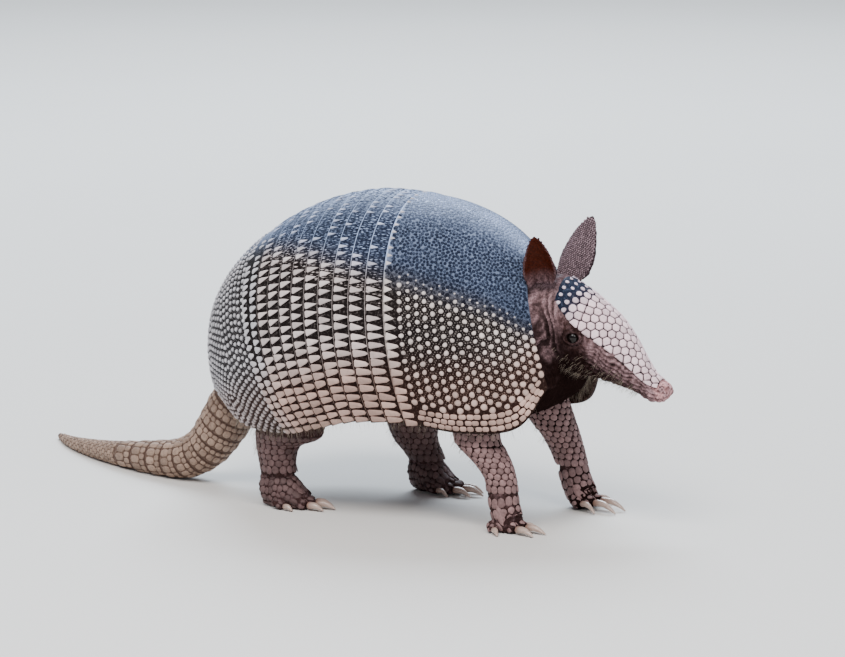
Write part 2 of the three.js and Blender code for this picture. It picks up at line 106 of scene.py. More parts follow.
# Legs, top to ankle: centre x, y, z, half length, half width.
LEGS = {
    "foreleg_right": [[77, -36, 94, 16, 13], [80.7, -40, 61, 16, 13.5],
                      [86.5, -42, 53, 15.5, 12.8], [95, -43.5, 44, 12.8, 11.4],
                      [100.5, -44.5, 35, 10.8, 10], [102.5, -45, 26, 10.8, 9.6]],
    "foreleg_left": [[86, 36, 100, 16, 13], [96.5, 40, 64, 16.5, 13.5],
                     [103, 43, 50, 13.6, 12.4], [107.5, 44.5, 39, 12, 11],
                     [111, 45, 29, 11.2, 10]],
    "hindleg_right": [[-62, -38, 84, 24, 15], [-59.5, -42, 52, 25, 15.5],
                      [-67, -44, 42, 15.8, 13.2], [-67.5, -45, 31, 12.8, 11.5],
                      [-66, -45, 23, 13, 11]],
    "hindleg_left": [[-12, 38, 80, 22, 15], [-10, 43, 49, 18.5, 14.5],
                     [-8, 44.5, 36, 16, 13], [-3, 45, 28, 14, 12], [1, 45, 22, 13, 11.2]],
}
# Toes, inner to outer: inward place, start, length, turn outwards, thickness, claw.
FORE_TOES = [[7.6, 1, 9, -14, 3.7, 10], [3.4, 5, 11, -4, 4.3, 15],
             [-3.4, 5, 10, 6, 4.3, 15], [-8, -3, 7, 38, 3.5, 10]]
HIND_TOES = [[9, 4, 9, -16, 3.5, 8], [5.4, 12, 11, -6, 4.2, 12], [0, 13, 13, 0, 4.5, 14],
             [-5.4, 12, 11, 7, 4.2, 12], [-9.4, 1, 8, 24, 3.4, 8]]
# Palms: forward, inward, height, half width, half height.
FORE_PALM = [[0, 0, 26, 9.6, 10.4], [2, 0, 15, 10.4, 10], [6, 0, 6.8, 10.6, 8.8],
             [9.5, 0, 4.8, 9.6, 6.6]]
FORE_REACH = [[0, 0, 29, 9.8, 10.6], [4, 0, 18, 10.2, 10.4], [10, 0, 8.2, 10.4, 10.2],
              [15, 0, 5.4, 9.6, 7.4]]
HIND_PALM = [[-12.5, 0, 10.4, 6.8, 10.4], [-5, 0, 12, 10, 13], [4, 0, 11, 11.2, 12.6],
             [14, 0, 6.8, 11.6, 7.6], [19, 0, 5.4, 10.6, 6]]
# Feet: leg, side, heading, palm, toes, and how far the toes reach, stretch and rise.
FEET = {
    "forefoot_right": ("foreleg_right", -1, -14, FORE_PALM, FORE_TOES, (0, 0, 0)),
    "forefoot_left": ("foreleg_left", 1, -14, FORE_REACH, FORE_TOES, (6, 4, 2.5)),
    "hindfoot_right": ("hindleg_right", -1, 4, HIND_PALM, HIND_TOES, (0, 0, 0)),
    "hindfoot_left": ("hindleg_left", 1, -6, HIND_PALM, HIND_TOES, (2, 2, 1)),
}
CLAW_START = 1.4             # gap between a toe's end and its claw's root

EAR_ROLL = 150               # degrees that the scoop is rolled at its base
EAR_UNROLL = 0.62            # share of the roll that is gone at its tip
EAR_ROOT = 0.42
EAR_TIP = 0.06
EAR_HALF = 0.85              # half of an ear's thickness
# Ears: base, tip, the way the scoop opens, width.
EARS = {
    "ear_right": ([117, -17, 162], [117.5, -30, 196], [0.35, -0.85, 0.3], 19),
    "ear_left": ([118.5, 15, 160], [132, 31, 203], [0.05, 0.95, 0.1], 21),
}

# Markings. Where the dark back ends, as |v| at stations of u; where the blush of the rim starts.
SLATE_BORDER = [[v] for v in (0.70, 0.57, 0.52, 0.47, 0.42, 0.34, 0.26, 0.17, 0.06, -0.06, -0.1)]
SLATE_SOFT = 0.07
BLUSH_FROM = 0.66
BLUSH_TO = 0.86

# Colours that no setting changes.
SHEEN_TINT = (0.72, 0.86, 1.0)
EYE_DARK = (0.002, 0.0015, 0.0015)
EYE_BROWN = (0.007, 0.004, 0.003)
CLAW_ROOT = (0.2, 0.11, 0.085)
CLAW_STREAK = (0.3, 0.18, 0.14)
HAIR_PALE = (0.52, 0.44, 0.34)
HAIR_DARK = (0.13, 0.09, 0.065)

# How many hairs grow along the shell's rims, on the face and throat, and on each leg.
RIM_HAIRS = 1100
FACE_HAIRS = 620
LEG_HAIRS = 90

# ---- curves and meshes


def curve(stations, t):
    """Smooth line through equally spaced stations, t from 0 to 1. Each span is a cubic that takes
    its slopes from the stations on both sides, and the line runs on straight past its ends."""
    p = np.asarray(stations, float)
    last = len(p) - 1
    p = np.vstack([2 * p[0] - p[1], p, 2 * p[-1] - p[-2]])
    s = np.clip(t, 0, 1) * last
    i = np.minimum(s.astype(int) if isinstance(s, np.ndarray) else int(s), last - 1)
    f = np.asarray(s - i)[..., None]
    a, b, c, d = (p[i + k] for k in range(4))
    return 0.5 * (2 * b + (c - a) * f + (2 * a - 5 * b + 4 * c - d) * f**2
                  + (3 * b - a - 3 * c + d) * f**3)


def unit(vectors):
    """Each vector over its own length."""
    return vectors / np.maximum(np.linalg.norm(vectors, axis=-1, keepdims=True), 1e-12)


def ease(x):
    """0 below 0, 1 above 1, and three x squared less two x cubed between."""
    x = np.clip(x, 0, 1)
    return x * x * (3 - 2 * x)


def turns(count):
    """Angles shared out evenly over one full turn."""
    return np.arange(count) / count * 2 * math.pi


def grid(rows, columns):
    """Shares from 0 to 1 down a column, and from -1 to 1 along a row."""
    return np.linspace(0, 1, rows)[:, None], np.linspace(-1, 1, columns)[None, :]


def wave(x, size):
    """Sine of x with one crest to each size."""
    return np.sin(x * 2 * math.pi / size)


def ripple(points, size, seed):
    """Soft irregular field from -1 to 1: the mean of plane waves of about one size, each in its
    own direction and phase, brought up to full height."""
    waves = 14
    rng = np.random.default_rng(seed)
    ways = unit(rng.normal(size=(waves, 3))) * (2 * math.pi / size)
    ways = ways * rng.uniform(0.7, 1.4, (waves, 1))
    phase = rng.uniform(0, 2 * math.pi, waves)
    total = np.zeros(len(points))
    for way, start in zip(ways, phase):
        total += np.sin(points @ way + start)
    return np.clip(total / math.sqrt(waves / 2) * 0.6, -1, 1)


def grid_faces(rows, columns, closed=False):
    """Quads over a grid of points numbered row by row; a closed grid joins its last column to
    its first."""
    i = np.arange(rows - 1)[:, None]
    j = np.arange(columns if closed else columns - 1)[None, :]
    k = (j + 1) % columns
    quads = np.stack([i * columns + j, i * columns + k, (i + 1) * columns + k,
                      (i + 1) * columns + j], -1)
    return quads.reshape(-1, 4)


def wall(outer, inner):
    """Closed wall: an outer and an inner grid of one size, with quads round their four edges."""
    rows, columns = outer.shape[:2]
    shift = rows * columns
    front = grid_faces(rows, columns)
    ring = np.concatenate([np.arange(columns), np.arange(2, rows + 1) * columns - 1,
                           (rows - 1) * columns + np.arange(columns - 2, -1, -1),
                           np.arange(rows - 2, 0, -1) * columns])
    after = np.roll(ring, -1)
    edge = np.stack([ring, ring + shift, after + shift, after], -1)
    points = np.concatenate([outer.reshape(-1, 3), inner.reshape(-1, 3)])
    return points, [front, front[:, ::-1] + shift, edge]


def tube(rings):
    """Closed body through rings of equal count: quads between rings, a fan over each end."""
    rows, sides = rings.shape[:2]
    ends = np.stack([rings[0].mean(0), rings[-1].mean(0)])
    points = np.concatenate([rings.reshape(-1, 3), ends])
    j = np.arange(sides)
    k = (j + 1) % sides
    start = np.stack([k, j, np.full(sides, rows * sides)], -1)
    end = np.stack([(rows - 1) * sides + j, (rows - 1) * sides + k,
                    np.full(sides, rows * sides + 1)], -1)
    return points, [grid_faces(rows, sides, True), start, end]


def joined(parts):
    """One set of points and faces from several."""
    points, faces, first = [], [], 0
    for some, theirs in parts:
        points.append(some)
        faces += [f + first for f in theirs]
        first += len(some)
    return np.concatenate(points), faces


def outward(points, faces):
    """The faces, turned over where the volume they enclose comes out negative."""
    volume = 0.0
    for f in faces:
        for k in range(1, f.shape[1] - 1):
            a, b, c = points[f[:, 0]], points[f[:, k]], points[f[:, k + 1]]
            volume += np.einsum("ij,ij->i", a, np.cross(b, c)).sum()
    return [f[:, ::-1] for f in faces] if volume < 0 else faces


# ---- the animal's surfaces


def shell(u, v, out=0.0):
    """Shell's outside. Hoop u gives the back's point, the rim's point, a half width and a half
    sweep. At v times the sweep the width goes as its sine, and the fall from back to rim as one
    less its cosine. The point is then moved out along the surface's normal."""
    u, v = np.broadcast_arrays(np.asarray(u, float), np.asarray(v, float))

    def point(u, v):
        top, rim = curve(BACK, u), curve(RIM, u)
        width = curve([[w] for w in HALF_WIDTH], u)[..., 0]
        sweep = np.radians(curve([[a] for a in SWEEP], u)[..., 0])
        fall = (1 - np.cos(v * sweep)) / (1 - np.cos(sweep))
        middle = top + (rim - top) * fall[..., None]
        return np.stack([middle[..., 0], width * np.sin(v * sweep), middle[..., 1]], -1)

    e = 0.004
    along = point(np.minimum(u + e, 1), v) - point(np.maximum(u - e, 0), v)
    across = point(u, v + e) - point(u, v - e)
    return point(u, v) + unit(np.cross(across, along)) * np.asarray(out)[..., None]


def side_ring(row, sides):
    """Rings in the planes through a bottom and a top point of the side view: the cosine carries
    from the middle to the top, the sine sideways to the half width."""
    a = turns(sides)
    low, high, half = row[..., 0:2], row[..., 2:4], row[..., 4]
    middle, reach = (low + high) / 2, (high - low) / 2
    flat = middle[..., None, :] + reach[..., None, :] * np.cos(a)[:, None]
    return np.stack([flat[..., 0], -half[..., None] * np.sin(a), flat[..., 1]], -1)


def head(s, degrees, out=0.0):
    """Head's outside: s from the skull to the nose, the angle from the top to the right."""
    s, degrees, out = np.broadcast_arrays(np.asarray(s, float), degrees, out)
    row = curve(HEAD, s)
    middle, reach = (row[..., 0:2] + row[..., 2:4]) / 2, (row[..., 2:4] - row[..., 0:2]) / 2
    a = np.radians(degrees)
    grown = 1 + out / np.linalg.norm(reach, axis=-1)
    flat = middle + reach * (np.cos(a) * grown)[..., None]
    return np.stack([flat[..., 0], -(row[..., 4] + out) * np.sin(a), flat[..., 1]], -1)


def limb(path, t, turn, out=0.0):
    """Round member along a path of x, y, z, half width, half height. The turn goes from the level
    way across, over the top."""
    t, turn, out = np.broadcast_arrays(np.asarray(t, float), turn, out)
    row = curve(path, t)
    e = 0.015
    along = unit((curve(path, np.minimum(t + e, 1)) - curve(path, np.maximum(t - e, 0)))[..., :3])
    across = unit(np.stack([-along[..., 1], along[..., 0], np.zeros_like(t)], -1))
    up = np.cross(along, across)
    return (row[..., :3] + across * ((row[..., 3] + out) * np.cos(turn))[..., None]
            + up * ((row[..., 4] + out) * np.sin(turn))[..., None])


def leg(path, t, turn, out=0.0):
    """Leg's outside: level ovals of a half length and a half width, set down its path."""
    t, turn, out = np.broadcast_arrays(np.asarray(t, float), turn, out)
    row = curve(path, t)
    return np.stack([row[..., 0] + (row[..., 3] + out) * np.cos(turn),
                     row[..., 1] + (row[..., 4] + out) * np.sin(turn), row[..., 2]], -1)


def tail(t, turn, out=0.0):
    """Tail's outside: circles set along its path, each ring swelling to its rear edge. Where it
    rests, it is flat along the floor."""
    t = np.asarray(t, float)
    radius = curve([[r] for r in TAIL_RADIUS], t)[..., 0]
    place = t / TAIL_RING_END * TAIL_RINGS
    swell = np.where(place < TAIL_RINGS, 0.9 * (place - np.floor(place) - 0.5), 0)
    path = np.column_stack([TAIL_PATH, TAIL_RADIUS, TAIL_RADIUS])
    points = limb(path, t, turn, swell + out)
    points[..., 2] = np.maximum(points[..., 2], 0.02)
    return points, radius


def ear(spec, s, t, out=0.0):
    """Ear: a leaf whose half width follows its outline, rolled round its axis; t runs from edge
    to edge and the roll opens towards the tip."""
    base, tip, opens, width = spec
    base, tip, opens = (np.array(x, float) for x in (base, tip, opens))
    length = np.linalg.norm(tip - base)
    axis = (tip - base) / length
    face = unit(opens - axis * (opens @ axis))
    side = np.cross(axis, face)
    s, t, out = np.broadcast_arrays(np.asarray(s, float), t, out)
    outline = EAR_ROOT * (1 - s)**2 + EAR_TIP * s + 0.98 * np.sin(math.pi * s**0.8)**0.7
    half = width / 2 * outline
    sweep = math.radians(EAR_ROLL) * (1 - EAR_UNROLL * s) / 2
    radius = half / np.sin(np.minimum(sweep, math.pi / 2))
    a = t * sweep
    return (base + axis * (s * length)[..., None] + side * ((radius - out) * np.sin(a))[..., None]
            + face * (radius * (1 - np.cos(a)) + out * np.cos(a))[..., None])


def foot_place(foot, forward, inward, height):
    """Point in a foot: forward and inward distances from its ankle, turned to its heading."""
    name, side, heading = foot[:3]
    ankle = LEGS[name][-1]
    a, w = math.radians(heading), -side * inward
    return [ankle[0] + forward * math.cos(a) - w * math.sin(a),
            ankle[1] + forward * math.sin(a) + w * math.cos(a), height]


def toe_paths(foot, toe):
    """Paths of one toe and of its claw, by shares of their lengths and thickness."""
    inward, start, length, turn, thick, claw = toe
    reach, stretch, high = foot[5]
    start, claw, a = start + reach, claw + stretch, math.radians(turn)

    def at(d, h, wide, tall):
        place = foot_place(foot, start + d * math.cos(a), inward - d * math.sin(a), h)
        return [*place, wide * thick, tall * thick]

    flesh = [at(0, thick + 2.6 + high * 1.3, 1, 1),
             at(length * 0.55, thick * 0.92 + high, 1.04, 1),
             at(length, thick * 0.66 + high, 0.8, 0.76)]
    root = length + CLAW_START
    horn = [at(root, thick * 0.78 + high, 0.66, 0.6),
            at(root + claw * 0.4, thick * 0.9 + high * 0.9, 0.56, 0.5),
            at(root + claw * 0.75, thick * 0.6 + high * 0.5, 0.36, 0.3),
            at(root + claw, 0.9, 0.5 / thick, 0.4 / thick)]
    return flesh, horn


def eye_centre(side):
    """Middle of an eyeball: sunk into the side of the head by its depth."""
    return head(EYE_ALONG, EYE_ANGLE * side, -EYE_DEPTH)


def frame_shift():
    """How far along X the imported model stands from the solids' own frame, read off one eye."""
    low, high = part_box("eye_right")
    return (low.x + high.x) / 2 - eye_centre(1)[0] * MM


SHIFT = frame_shift()

# ---- pieces


def in_metres(points):
    """Points in the solids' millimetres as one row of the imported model's metres."""
    return ((points + [SHIFT / MM, 0, 0]) * MM).astype(np.float32).ravel()


def set_marks(mesh, marks):
    """Stores four masks at each point, for the materials to read."""
    layer = mesh.color_attributes.new("marks", "FLOAT_COLOR", "POINT")
    layer.data.foreach_set("color", marks.astype(np.float32).ravel())


def place_piece(name, mesh, material, nodes):
    """Makes a mesh a smooth piece of one material, which stands for the solids named."""
    mesh.polygons.foreach_set("use_smooth", np.ones(len(mesh.polygons), bool))
    mesh.materials.clear()
    mesh.materials.append(material)
    piece = bpy.data.objects.new(name, mesh)
    bpy.context.scene.collection.objects.link(piece)
    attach(piece, "root")
    if nodes:
        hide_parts(*nodes)
    return piece


def build(name, points, faces, material, slot, nodes=(), marks=None, patch=None):
    """Makes a piece from points in millimetres. marks are four masks at each point, and patch is
    the place of each point on the coat's map."""
    faces = outward(points, faces)
    mesh = bpy.data.meshes.new(name)
    sizes = np.concatenate([np.full(len(f), f.shape[1]) for f in faces])
    corners = np.concatenate([f.ravel() for f in faces]).astype(np.int32)
    mesh.vertices.add(len(points))
    mesh.vertices.foreach_set("co", in_metres(points))
    mesh.loops.add(len(corners))
    mesh.loops.foreach_set("vertex_index", corners)
    mesh.polygons.add(len(sizes))
    mesh.polygons.foreach_set("loop_start", (np.cumsum(sizes) - sizes).astype(np.int32))
    mesh.update(calc_edges=True)
    if marks is not None:
        set_marks(mesh, marks)
    if patch is not None:
        layer = mesh.uv_layers.new(name="OFBake")
        layer.data.foreach_set("uv", patch[corners].astype(np.float32).ravel())
    return place_piece(name, mesh, material, nodes)


# ---- scales

# A scale's rings from its foot up: share of its outline, share of its height.
CUSHION = ((1, -0.5), (0.94, 0.4), (0.62, 0.95))
WEDGE = ((1, -0.5), (0.95, 0.45), (0.6, 0.95))
ROSETTE = ((1, -0.4), (0.88, 0.3), (0.55, 0.85))
# Beads go from dark at their foot to pale at their middle: pale horn, partly a painted highlight
# on each dome.
BEAD = ((1, -0.4), (0.86, 0.12), (0.55, 0.8))
HEAD_SCALE = ((1, -0.5), (0.95, 0.3), (0.74, 0.85))
SMALL_BEAD = ((1, -0.5), (0.7, 0.75))
PEBBLE = ((1, -0.5), (0.84, 0.85))
TICK = ((1, -0.5), (0.6, 0.8))

FAR = 1e9                    # stands for a distance without end
CLOSE_ROWS = 0.866           # gap between rows of a close packing, over the pitch
SLACK = 1.04                 # how far apart two points are pushed, over the pitch
PUSH = 0.28                  # share of what is missing that one round makes up
NEIGHBOURS = 10              # how many points near a scale may bound its cell
CELL_REACH = 0.72            # a cell's largest radius over the pitch
PATCH = 0.003                # width of a scale's patch on the coat's map


def lengths(line):
    """Length of a line of points from its start up to each of them."""
    return np.concatenate([[0], np.cumsum(np.linalg.norm(np.diff(line, axis=0), axis=1))])


def squared_gaps(here):
    """Square of the distance from each point to each other one."""
    square = (here**2).sum(1)
    gap = square[:, None] + square[None, :] - 2 * here @ here.T
    np.fill_diagonal(gap, FAR)
    return gap


def tangents(surface, q):
    """Frame of a surface at q: its points, the unit way of its first parameter, the way across,
    and the change of both parameters for a step along those two ways."""
    a, b = q[:, 0], q[:, 1]
    e = 1e-3
    here = surface(a, b, 0.0)
    da = (surface(a + e, b, 0.0) - surface(a - e, b, 0.0)) / (2 * e)
    db = (surface(a, b + e, 0.0) - surface(a, b - e, 0.0)) / (2 * e)
    normal = unit(np.cross(da, db))
    normal *= np.sign(np.einsum("ij,ij->i", normal, surface(a, b, 0.3) - here))[:, None]
    first = unit(da)
    second = np.cross(normal, first)
    rows = np.stack([first, second], 1)
    slope = np.einsum("nij,nkj->nik", rows, np.stack([da, db], 1))
    return here, first, second, np.linalg.inv(slope + np.eye(2) * 1e-9)


def rows_of(surface, low, high, pitch):
    """Staggered rows of points a pitch apart: rows stand at even steps of the first parameter,
    and each is shared out evenly over its own length."""
    s = np.linspace(0, 1, 160)
    sample = surface(low[0] + (high[0] - low[0]) * s[:, None],
                     low[1] + (high[1] - low[1]) * s[None, ::8], 0.0)
    length = np.linalg.norm(np.diff(sample, axis=0), axis=-1).sum(0).mean()
    count = max(int(round(length / (pitch * CLOSE_ROWS))), 1)
    found = []
    for i in range(count):
        a = low[0] + (high[0] - low[0]) * (i + 0.5) / count
        b = low[1] + (high[1] - low[1]) * s
        far = lengths(surface(np.full_like(b, a), b, 0.0))
        n = max(int(round(far[-1] / pitch)), 1)
        places = (np.arange(n) + 0.25 + 0.5 * (i % 2)) / n * far[-1]
        found.append(np.column_stack([np.full(n, a), np.interp(places, far, b)]))
    return np.concatenate(found)


def spread(surface, q, low, high, pitch, rounds):
    """Evens out points over a patch. In each round any two that stand nearer than the pitch are
    pushed apart along the surface by a share of what is missing."""
    for _ in range(rounds):
        here, first, second, inverse = tangents(surface, q)
        i, j = np.nonzero(squared_gaps(here) < (pitch * SLACK)**2)
        away = here[i] - here[j]
        distance = np.linalg.norm(away, axis=1)
        push = away * (PUSH * (pitch * SLACK - distance) / np.maximum(distance, 1e-6))[:, None]
        flat = np.column_stack([np.einsum("ij,ij->i", push, way[i]) for way in (first, second)])
        move = np.column_stack([np.bincount(i, flat[:, k], len(q)) for k in range(2)])
        q = np.clip(q + np.einsum("nk,nki->ni", move, inverse), low, high)
    return q


def cells(surface, q, sides, reach):
    """Distance from each point to the edge of its cell, in each direction round it: the nearest
    of the lines halfway to its neighbours, and at most the reach."""
    here, first, second, _ = tangents(surface, q)
    near = min(NEIGHBOURS, len(q) - 1)
    ring = np.argpartition(squared_gaps(here), near - 1, axis=1)[:, :near]
    away = here[ring] - here[:, None]
    x, y = (np.einsum("nkj,nj->nk", away, way) for way in (first, second))
    a = turns(sides)
    facing = x[..., None] * np.cos(a) + y[..., None] * np.sin(a)
    edge = (x**2 + y**2)[..., None] / 2 / np.maximum(facing, 1e-6)
    return np.minimum(np.where(facing > 1e-6, edge, FAR).min(1), reach)


def evened(outline, times=1):
    """Outlines with each distance drawn towards its two neighbours'."""
    for _ in range(times):
        outline = (np.roll(outline, 1, 1) + 2 * outline + np.roll(outline, -1, 1)) / 4
    return outline


def domes(surface, q, radius, height, base=0.0, profile=CUSHION):
    """Closed low scales on a surface. Each has rings at shares of its outline and of its height,
    and one point on top and one below. Points go down onto the surface by its own tangents."""
    count, sides = radius.shape
    inverse = tangents(surface, q)[-1]
    a = turns(sides)
    way = np.stack([np.cos(a), np.sin(a)], -1)
    height, base = (np.broadcast_to(np.asarray(x, float), (count,)) for x in (height, base))
    flat, out, rise, local = [], [], [], []
    for share, level in (*profile, (0, 1), (0, -0.5)):
        ring = (radius[..., None] * way * share) if share else np.zeros((count, 1, 2))
        flat.append(ring)
        out.append(np.repeat((base + height * level)[:, None], ring.shape[1], 1))
        rise.append(np.full(ring.shape[:2], min(max(level, 0.0) * 2.5, 1.0)))
        local.append(ring / radius.max())
    flat, out, rise, local = (np.concatenate(x, 1) for x in (flat, out, rise, local))
    spot = q[:, None] + np.einsum("nij,nkj->nki", inverse, flat)
    points = surface(spot[..., 0], spot[..., 1], out)
    each = points.shape[1]
    rings = len(profile)
    j = np.arange(sides)
    k = (j + 1) % sides
    top = np.stack([(rings - 1) * sides + j, (rings - 1) * sides + k,
                    np.full(sides, rings * sides)], -1)
    under = np.stack([k, j, np.full(sides, rings * sides + 1)], -1)
    first = (np.arange(count) * each)[:, None, None]
    faces = [(f[None] + first).reshape(-1, f.shape[1])
             for f in (grid_faces(rings, sides, True), top, under)]
    return points.reshape(-1, 3), faces, rise.ravel(), each, local.reshape(-1, 2)


def patches(q, low, high, each, local):
    """Map of a coat piece: each scale is a small patch at its root's place on the unwrap by the
    surface's two parameters."""
    share = (q - low) / (np.asarray(high, float) - low)
    return np.repeat(PATCH + share * (1 - 2 * PATCH), each, 0) + local * (PATCH / 2)


def scale_marks(slate, blush, tone, rise, each):
    """Colours' masks at each point of a set of scales: one of each a scale, and its own rise."""
    return np.column_stack([np.repeat(x, each) for x in (slate, blush, tone)] + [rise])


def lay_scales(name, surface, q, radius, material, slot, box, shares, tone, height,
               base=0.0, profile=CUSHION, foot=0.0, top=1.0):
    """One piece of scales on a patch. shares are slate and blush; each scale's light goes from
    its foot's to its top's as it rises."""
    points, faces, rise, each, local = domes(surface, q, radius, height, base, profile)
    foot, top = (np.broadcast_to(np.asarray(x, float), (len(q),)) for x in (foot, top))
    light = np.repeat(foot, each) + np.repeat(top - foot, each) * rise
    build(name, points, faces, material, slot, (), scale_marks(*shares, tone, light, each),
          patches(q, *np.asarray(box, float), each, local))


# ---- markings


def slate_share(u, v):
    """1 over the back and 0 on the flanks: |v| against the border's place along the shell."""
    border = curve(SLATE_BORDER, u)[..., 0]
    return ease((border + SLATE_SOFT - np.abs(v)) / (2 * SLATE_SOFT))


def blush_share(v):
    """0 at mid height, 1 at the rims."""
    return ease((np.abs(v) - BLUSH_FROM) / (BLUSH_TO - BLUSH_FROM))


def sky_sheen_share(v):
    """1 along the middle of the back, where a painted sky sheen lightens the horn; 0 a third of
    the way down.
    """
    return ease(1 - np.abs(v) / 0.34)


def band_edge(k):
    """u of the front edge of band k + 1."""
    return BAND_START + BAND_STEP * k


# ---- materials


def add_node(tree, kind, inputs=(), **settings):
    """Adds a node. inputs maps an input's name or number to a socket to link or a value."""
    node = tree.nodes.new(kind)
    for key, value in settings.items():
        setattr(node, key, value)
    for key, value in dict(inputs).items():
        if isinstance(value, bpy.types.NodeSocket):
            tree.links.new(value, node.inputs[key])
        else:
            node.inputs[key].default_value = value
    return node


def mix(tree, share, a, b):
    """Colour between a and b."""
    return add_node(tree, "ShaderNodeMix", {0: share, 6: a, 7: b}, data_type="RGBA").outputs[2]


def scaled(tree, shade, by):
    """A colour times a value."""
    return add_node(tree, "ShaderNodeVectorMath", {0: shade, "Scale": by},
                    operation="SCALE").outputs[0]


def ranged(tree, value, low, high, to_low, to_high):
    """A value carried from one range to another, held at its ends."""
    return add_node(tree, "ShaderNodeMapRange",
                    {0: value, 1: low, 2: high, 3: to_low, 4: to_high}).outputs[0]


def math_node(tree, operation, a, b, clamp=False):
    """Two values under one operation, held between 0 and 1 where it is clamped."""
    return add_node(tree, "ShaderNodeMath", {0: a, 1: b}, operation=operation,
                    use_clamp=clamp).outputs[0]


def group(name, inputs, outputs):
    """Empty node group with named sockets: (name, kind, default)."""
    tree = bpy.data.node_groups.new(name, "ShaderNodeTree")
    for label, kind, default in inputs:
        socket = tree.interface.new_socket(label, in_out="INPUT", socket_type=kind)
        if default is not None:
            socket.default_value = default
    for label, kind in outputs:
        tree.interface.new_socket(label, in_out="OUTPUT", socket_type=kind)
    return tree, tree.nodes.new("NodeGroupInput").outputs, tree.nodes.new("NodeGroupOutput").inputs


def mottle_group():
    """Uneven patches between two values, from noise of a given size in metres."""
    if "Mottle" in bpy.data.node_groups:
        return bpy.data.node_groups["Mottle"]
    tree, given, result = group(
        "Mottle", [("Vector", "NodeSocketVector", None), ("Size", "NodeSocketFloat", 0.01),
                   ("Low", "NodeSocketFloat", 0.0), ("High", "NodeSocketFloat", 1.0)],
        [("Value", "NodeSocketFloat")])
    scale = math_node(tree, "DIVIDE", 1.0, given["Size"])
    noise = add_node(tree, "ShaderNodeTexNoise", {"Vector": given["Vector"], "Scale": scale,
                                                  "Detail": 3.0, "Roughness": 0.6})
    value = ranged(tree, noise.outputs["Fac"], 0.32, 0.68, given["Low"], given["High"])
    tree.links.new(value, result["Value"])
    return tree


def pebble_group():
    """Small close cells of a given size: a height that falls to their edges, and the edges."""
    if "Pebbles" in bpy.data.node_groups:
        return bpy.data.node_groups["Pebbles"]
    tree, given, result = group(
        "Pebbles", [("Vector", "NodeSocketVector", None), ("Size", "NodeSocketFloat", 0.002)],
        [("Height", "NodeSocketFloat"), ("Edge", "NodeSocketFloat")])
    scale = math_node(tree, "DIVIDE", 1.0, given["Size"])
    edge = add_node(tree, "ShaderNodeTexVoronoi", {"Vector": given["Vector"], "Scale": scale},
                    feature="DISTANCE_TO_EDGE").outputs["Distance"]
    tree.links.new(ranged(tree, edge, 0.0, 0.22, 0.0, 1.0), result["Height"])
    tree.links.new(ranged(tree, edge, 0.02, 0.14, 1.0, 0.0), result["Edge"])
    return tree


def horn_group():
    """Colour of shell horn: pale on a scale's top, the ground between; slate over the back and
    a blush at the rim, each scale with its own tone."""
    if "Horn colours" in bpy.data.node_groups:
        return bpy.data.node_groups["Horn colours"]
    colours = ("Pale", "Blush", "Slate pale", "Ground", "Blush ground", "Slate ground")
    tree, given, result = group(
        "Horn colours",
        [(label, "NodeSocketColor", None) for label in colours]
        + [(label, "NodeSocketFloat", 0.0) for label in ("Slate", "Blushing", "Tone", "Rise")],
        [("Color", "NodeSocketColor")])
    top = mix(tree, given["Blushing"], given["Pale"], given["Blush"])
    top = mix(tree, given["Slate"], top, given["Slate pale"])
    top = scaled(tree, top, ranged(tree, given["Tone"], 0.0, 1.0, 0.74, 1.1))
    low = mix(tree, given["Blushing"], given["Ground"], given["Blush ground"])
    low = mix(tree, given["Slate"], low, given["Slate ground"])
    tree.links.new(mix(tree, given["Rise"], low, top), result["Color"])
    return tree


def use(tree, made, inputs):
    """Places a node group with its own values."""
    return add_node(tree, "ShaderNodeGroup", inputs, node_tree=made).outputs


def mottled(tree, place, size, low=0.0, high=1.0):
    """Values that wander between low and high in patches of a size in metres."""
    return use(tree, mottle_group(), {"Vector": place, "Size": size,
                                      "Low": low, "High": high})["Value"]


def masks(tree):
    """The four masks of a piece's marks."""
    marks = add_node(tree, "ShaderNodeAttribute", attribute_name="marks")
    split = add_node(tree, "ShaderNodeSeparateColor", {0: marks.outputs["Color"]})
    return *split.outputs, marks.outputs["Alpha"]


def new_material(name, roughness, gloss=0.5):
    """Material with a Principled shader; gives the material, its tree, shader and coordinates."""
    material = bpy.data.materials.new(name)
    material.use_nodes = True
    tree = material.node_tree
    shader = tree.nodes["Principled BSDF"]
    shader.inputs["Roughness"].default_value = roughness
    shader.inputs["Specular IOR Level"].default_value = gloss
    return material, tree, shader, tree.nodes.new("ShaderNodeTexCoord").outputs["Object"]


def colour(rgb):
    """A colour with full cover."""
    return (*rgb, 1.0)


def set_bump(tree, shader, height, strength, distance):
    """Feeds a height to the shader's normal; the distance is in millimetres."""
    bump = add_node(tree, "ShaderNodeBump", {"Height": height, "Strength": strength,
                                             "Distance": distance * MM})
    tree.links.new(bump.outputs["Normal"], shader.inputs["Normal"])


def mottled_material(name, roughness, gloss, size, one, other):
    """Material whose colour wanders between two, in patches of a size in metres."""
    material, tree, shader, place = new_material(name, roughness, gloss)
    shade = mix(tree, mottled(tree, place, size), colour(one), colour(other))
    tree.links.new(shade, shader.inputs["Base Color"])
    return material


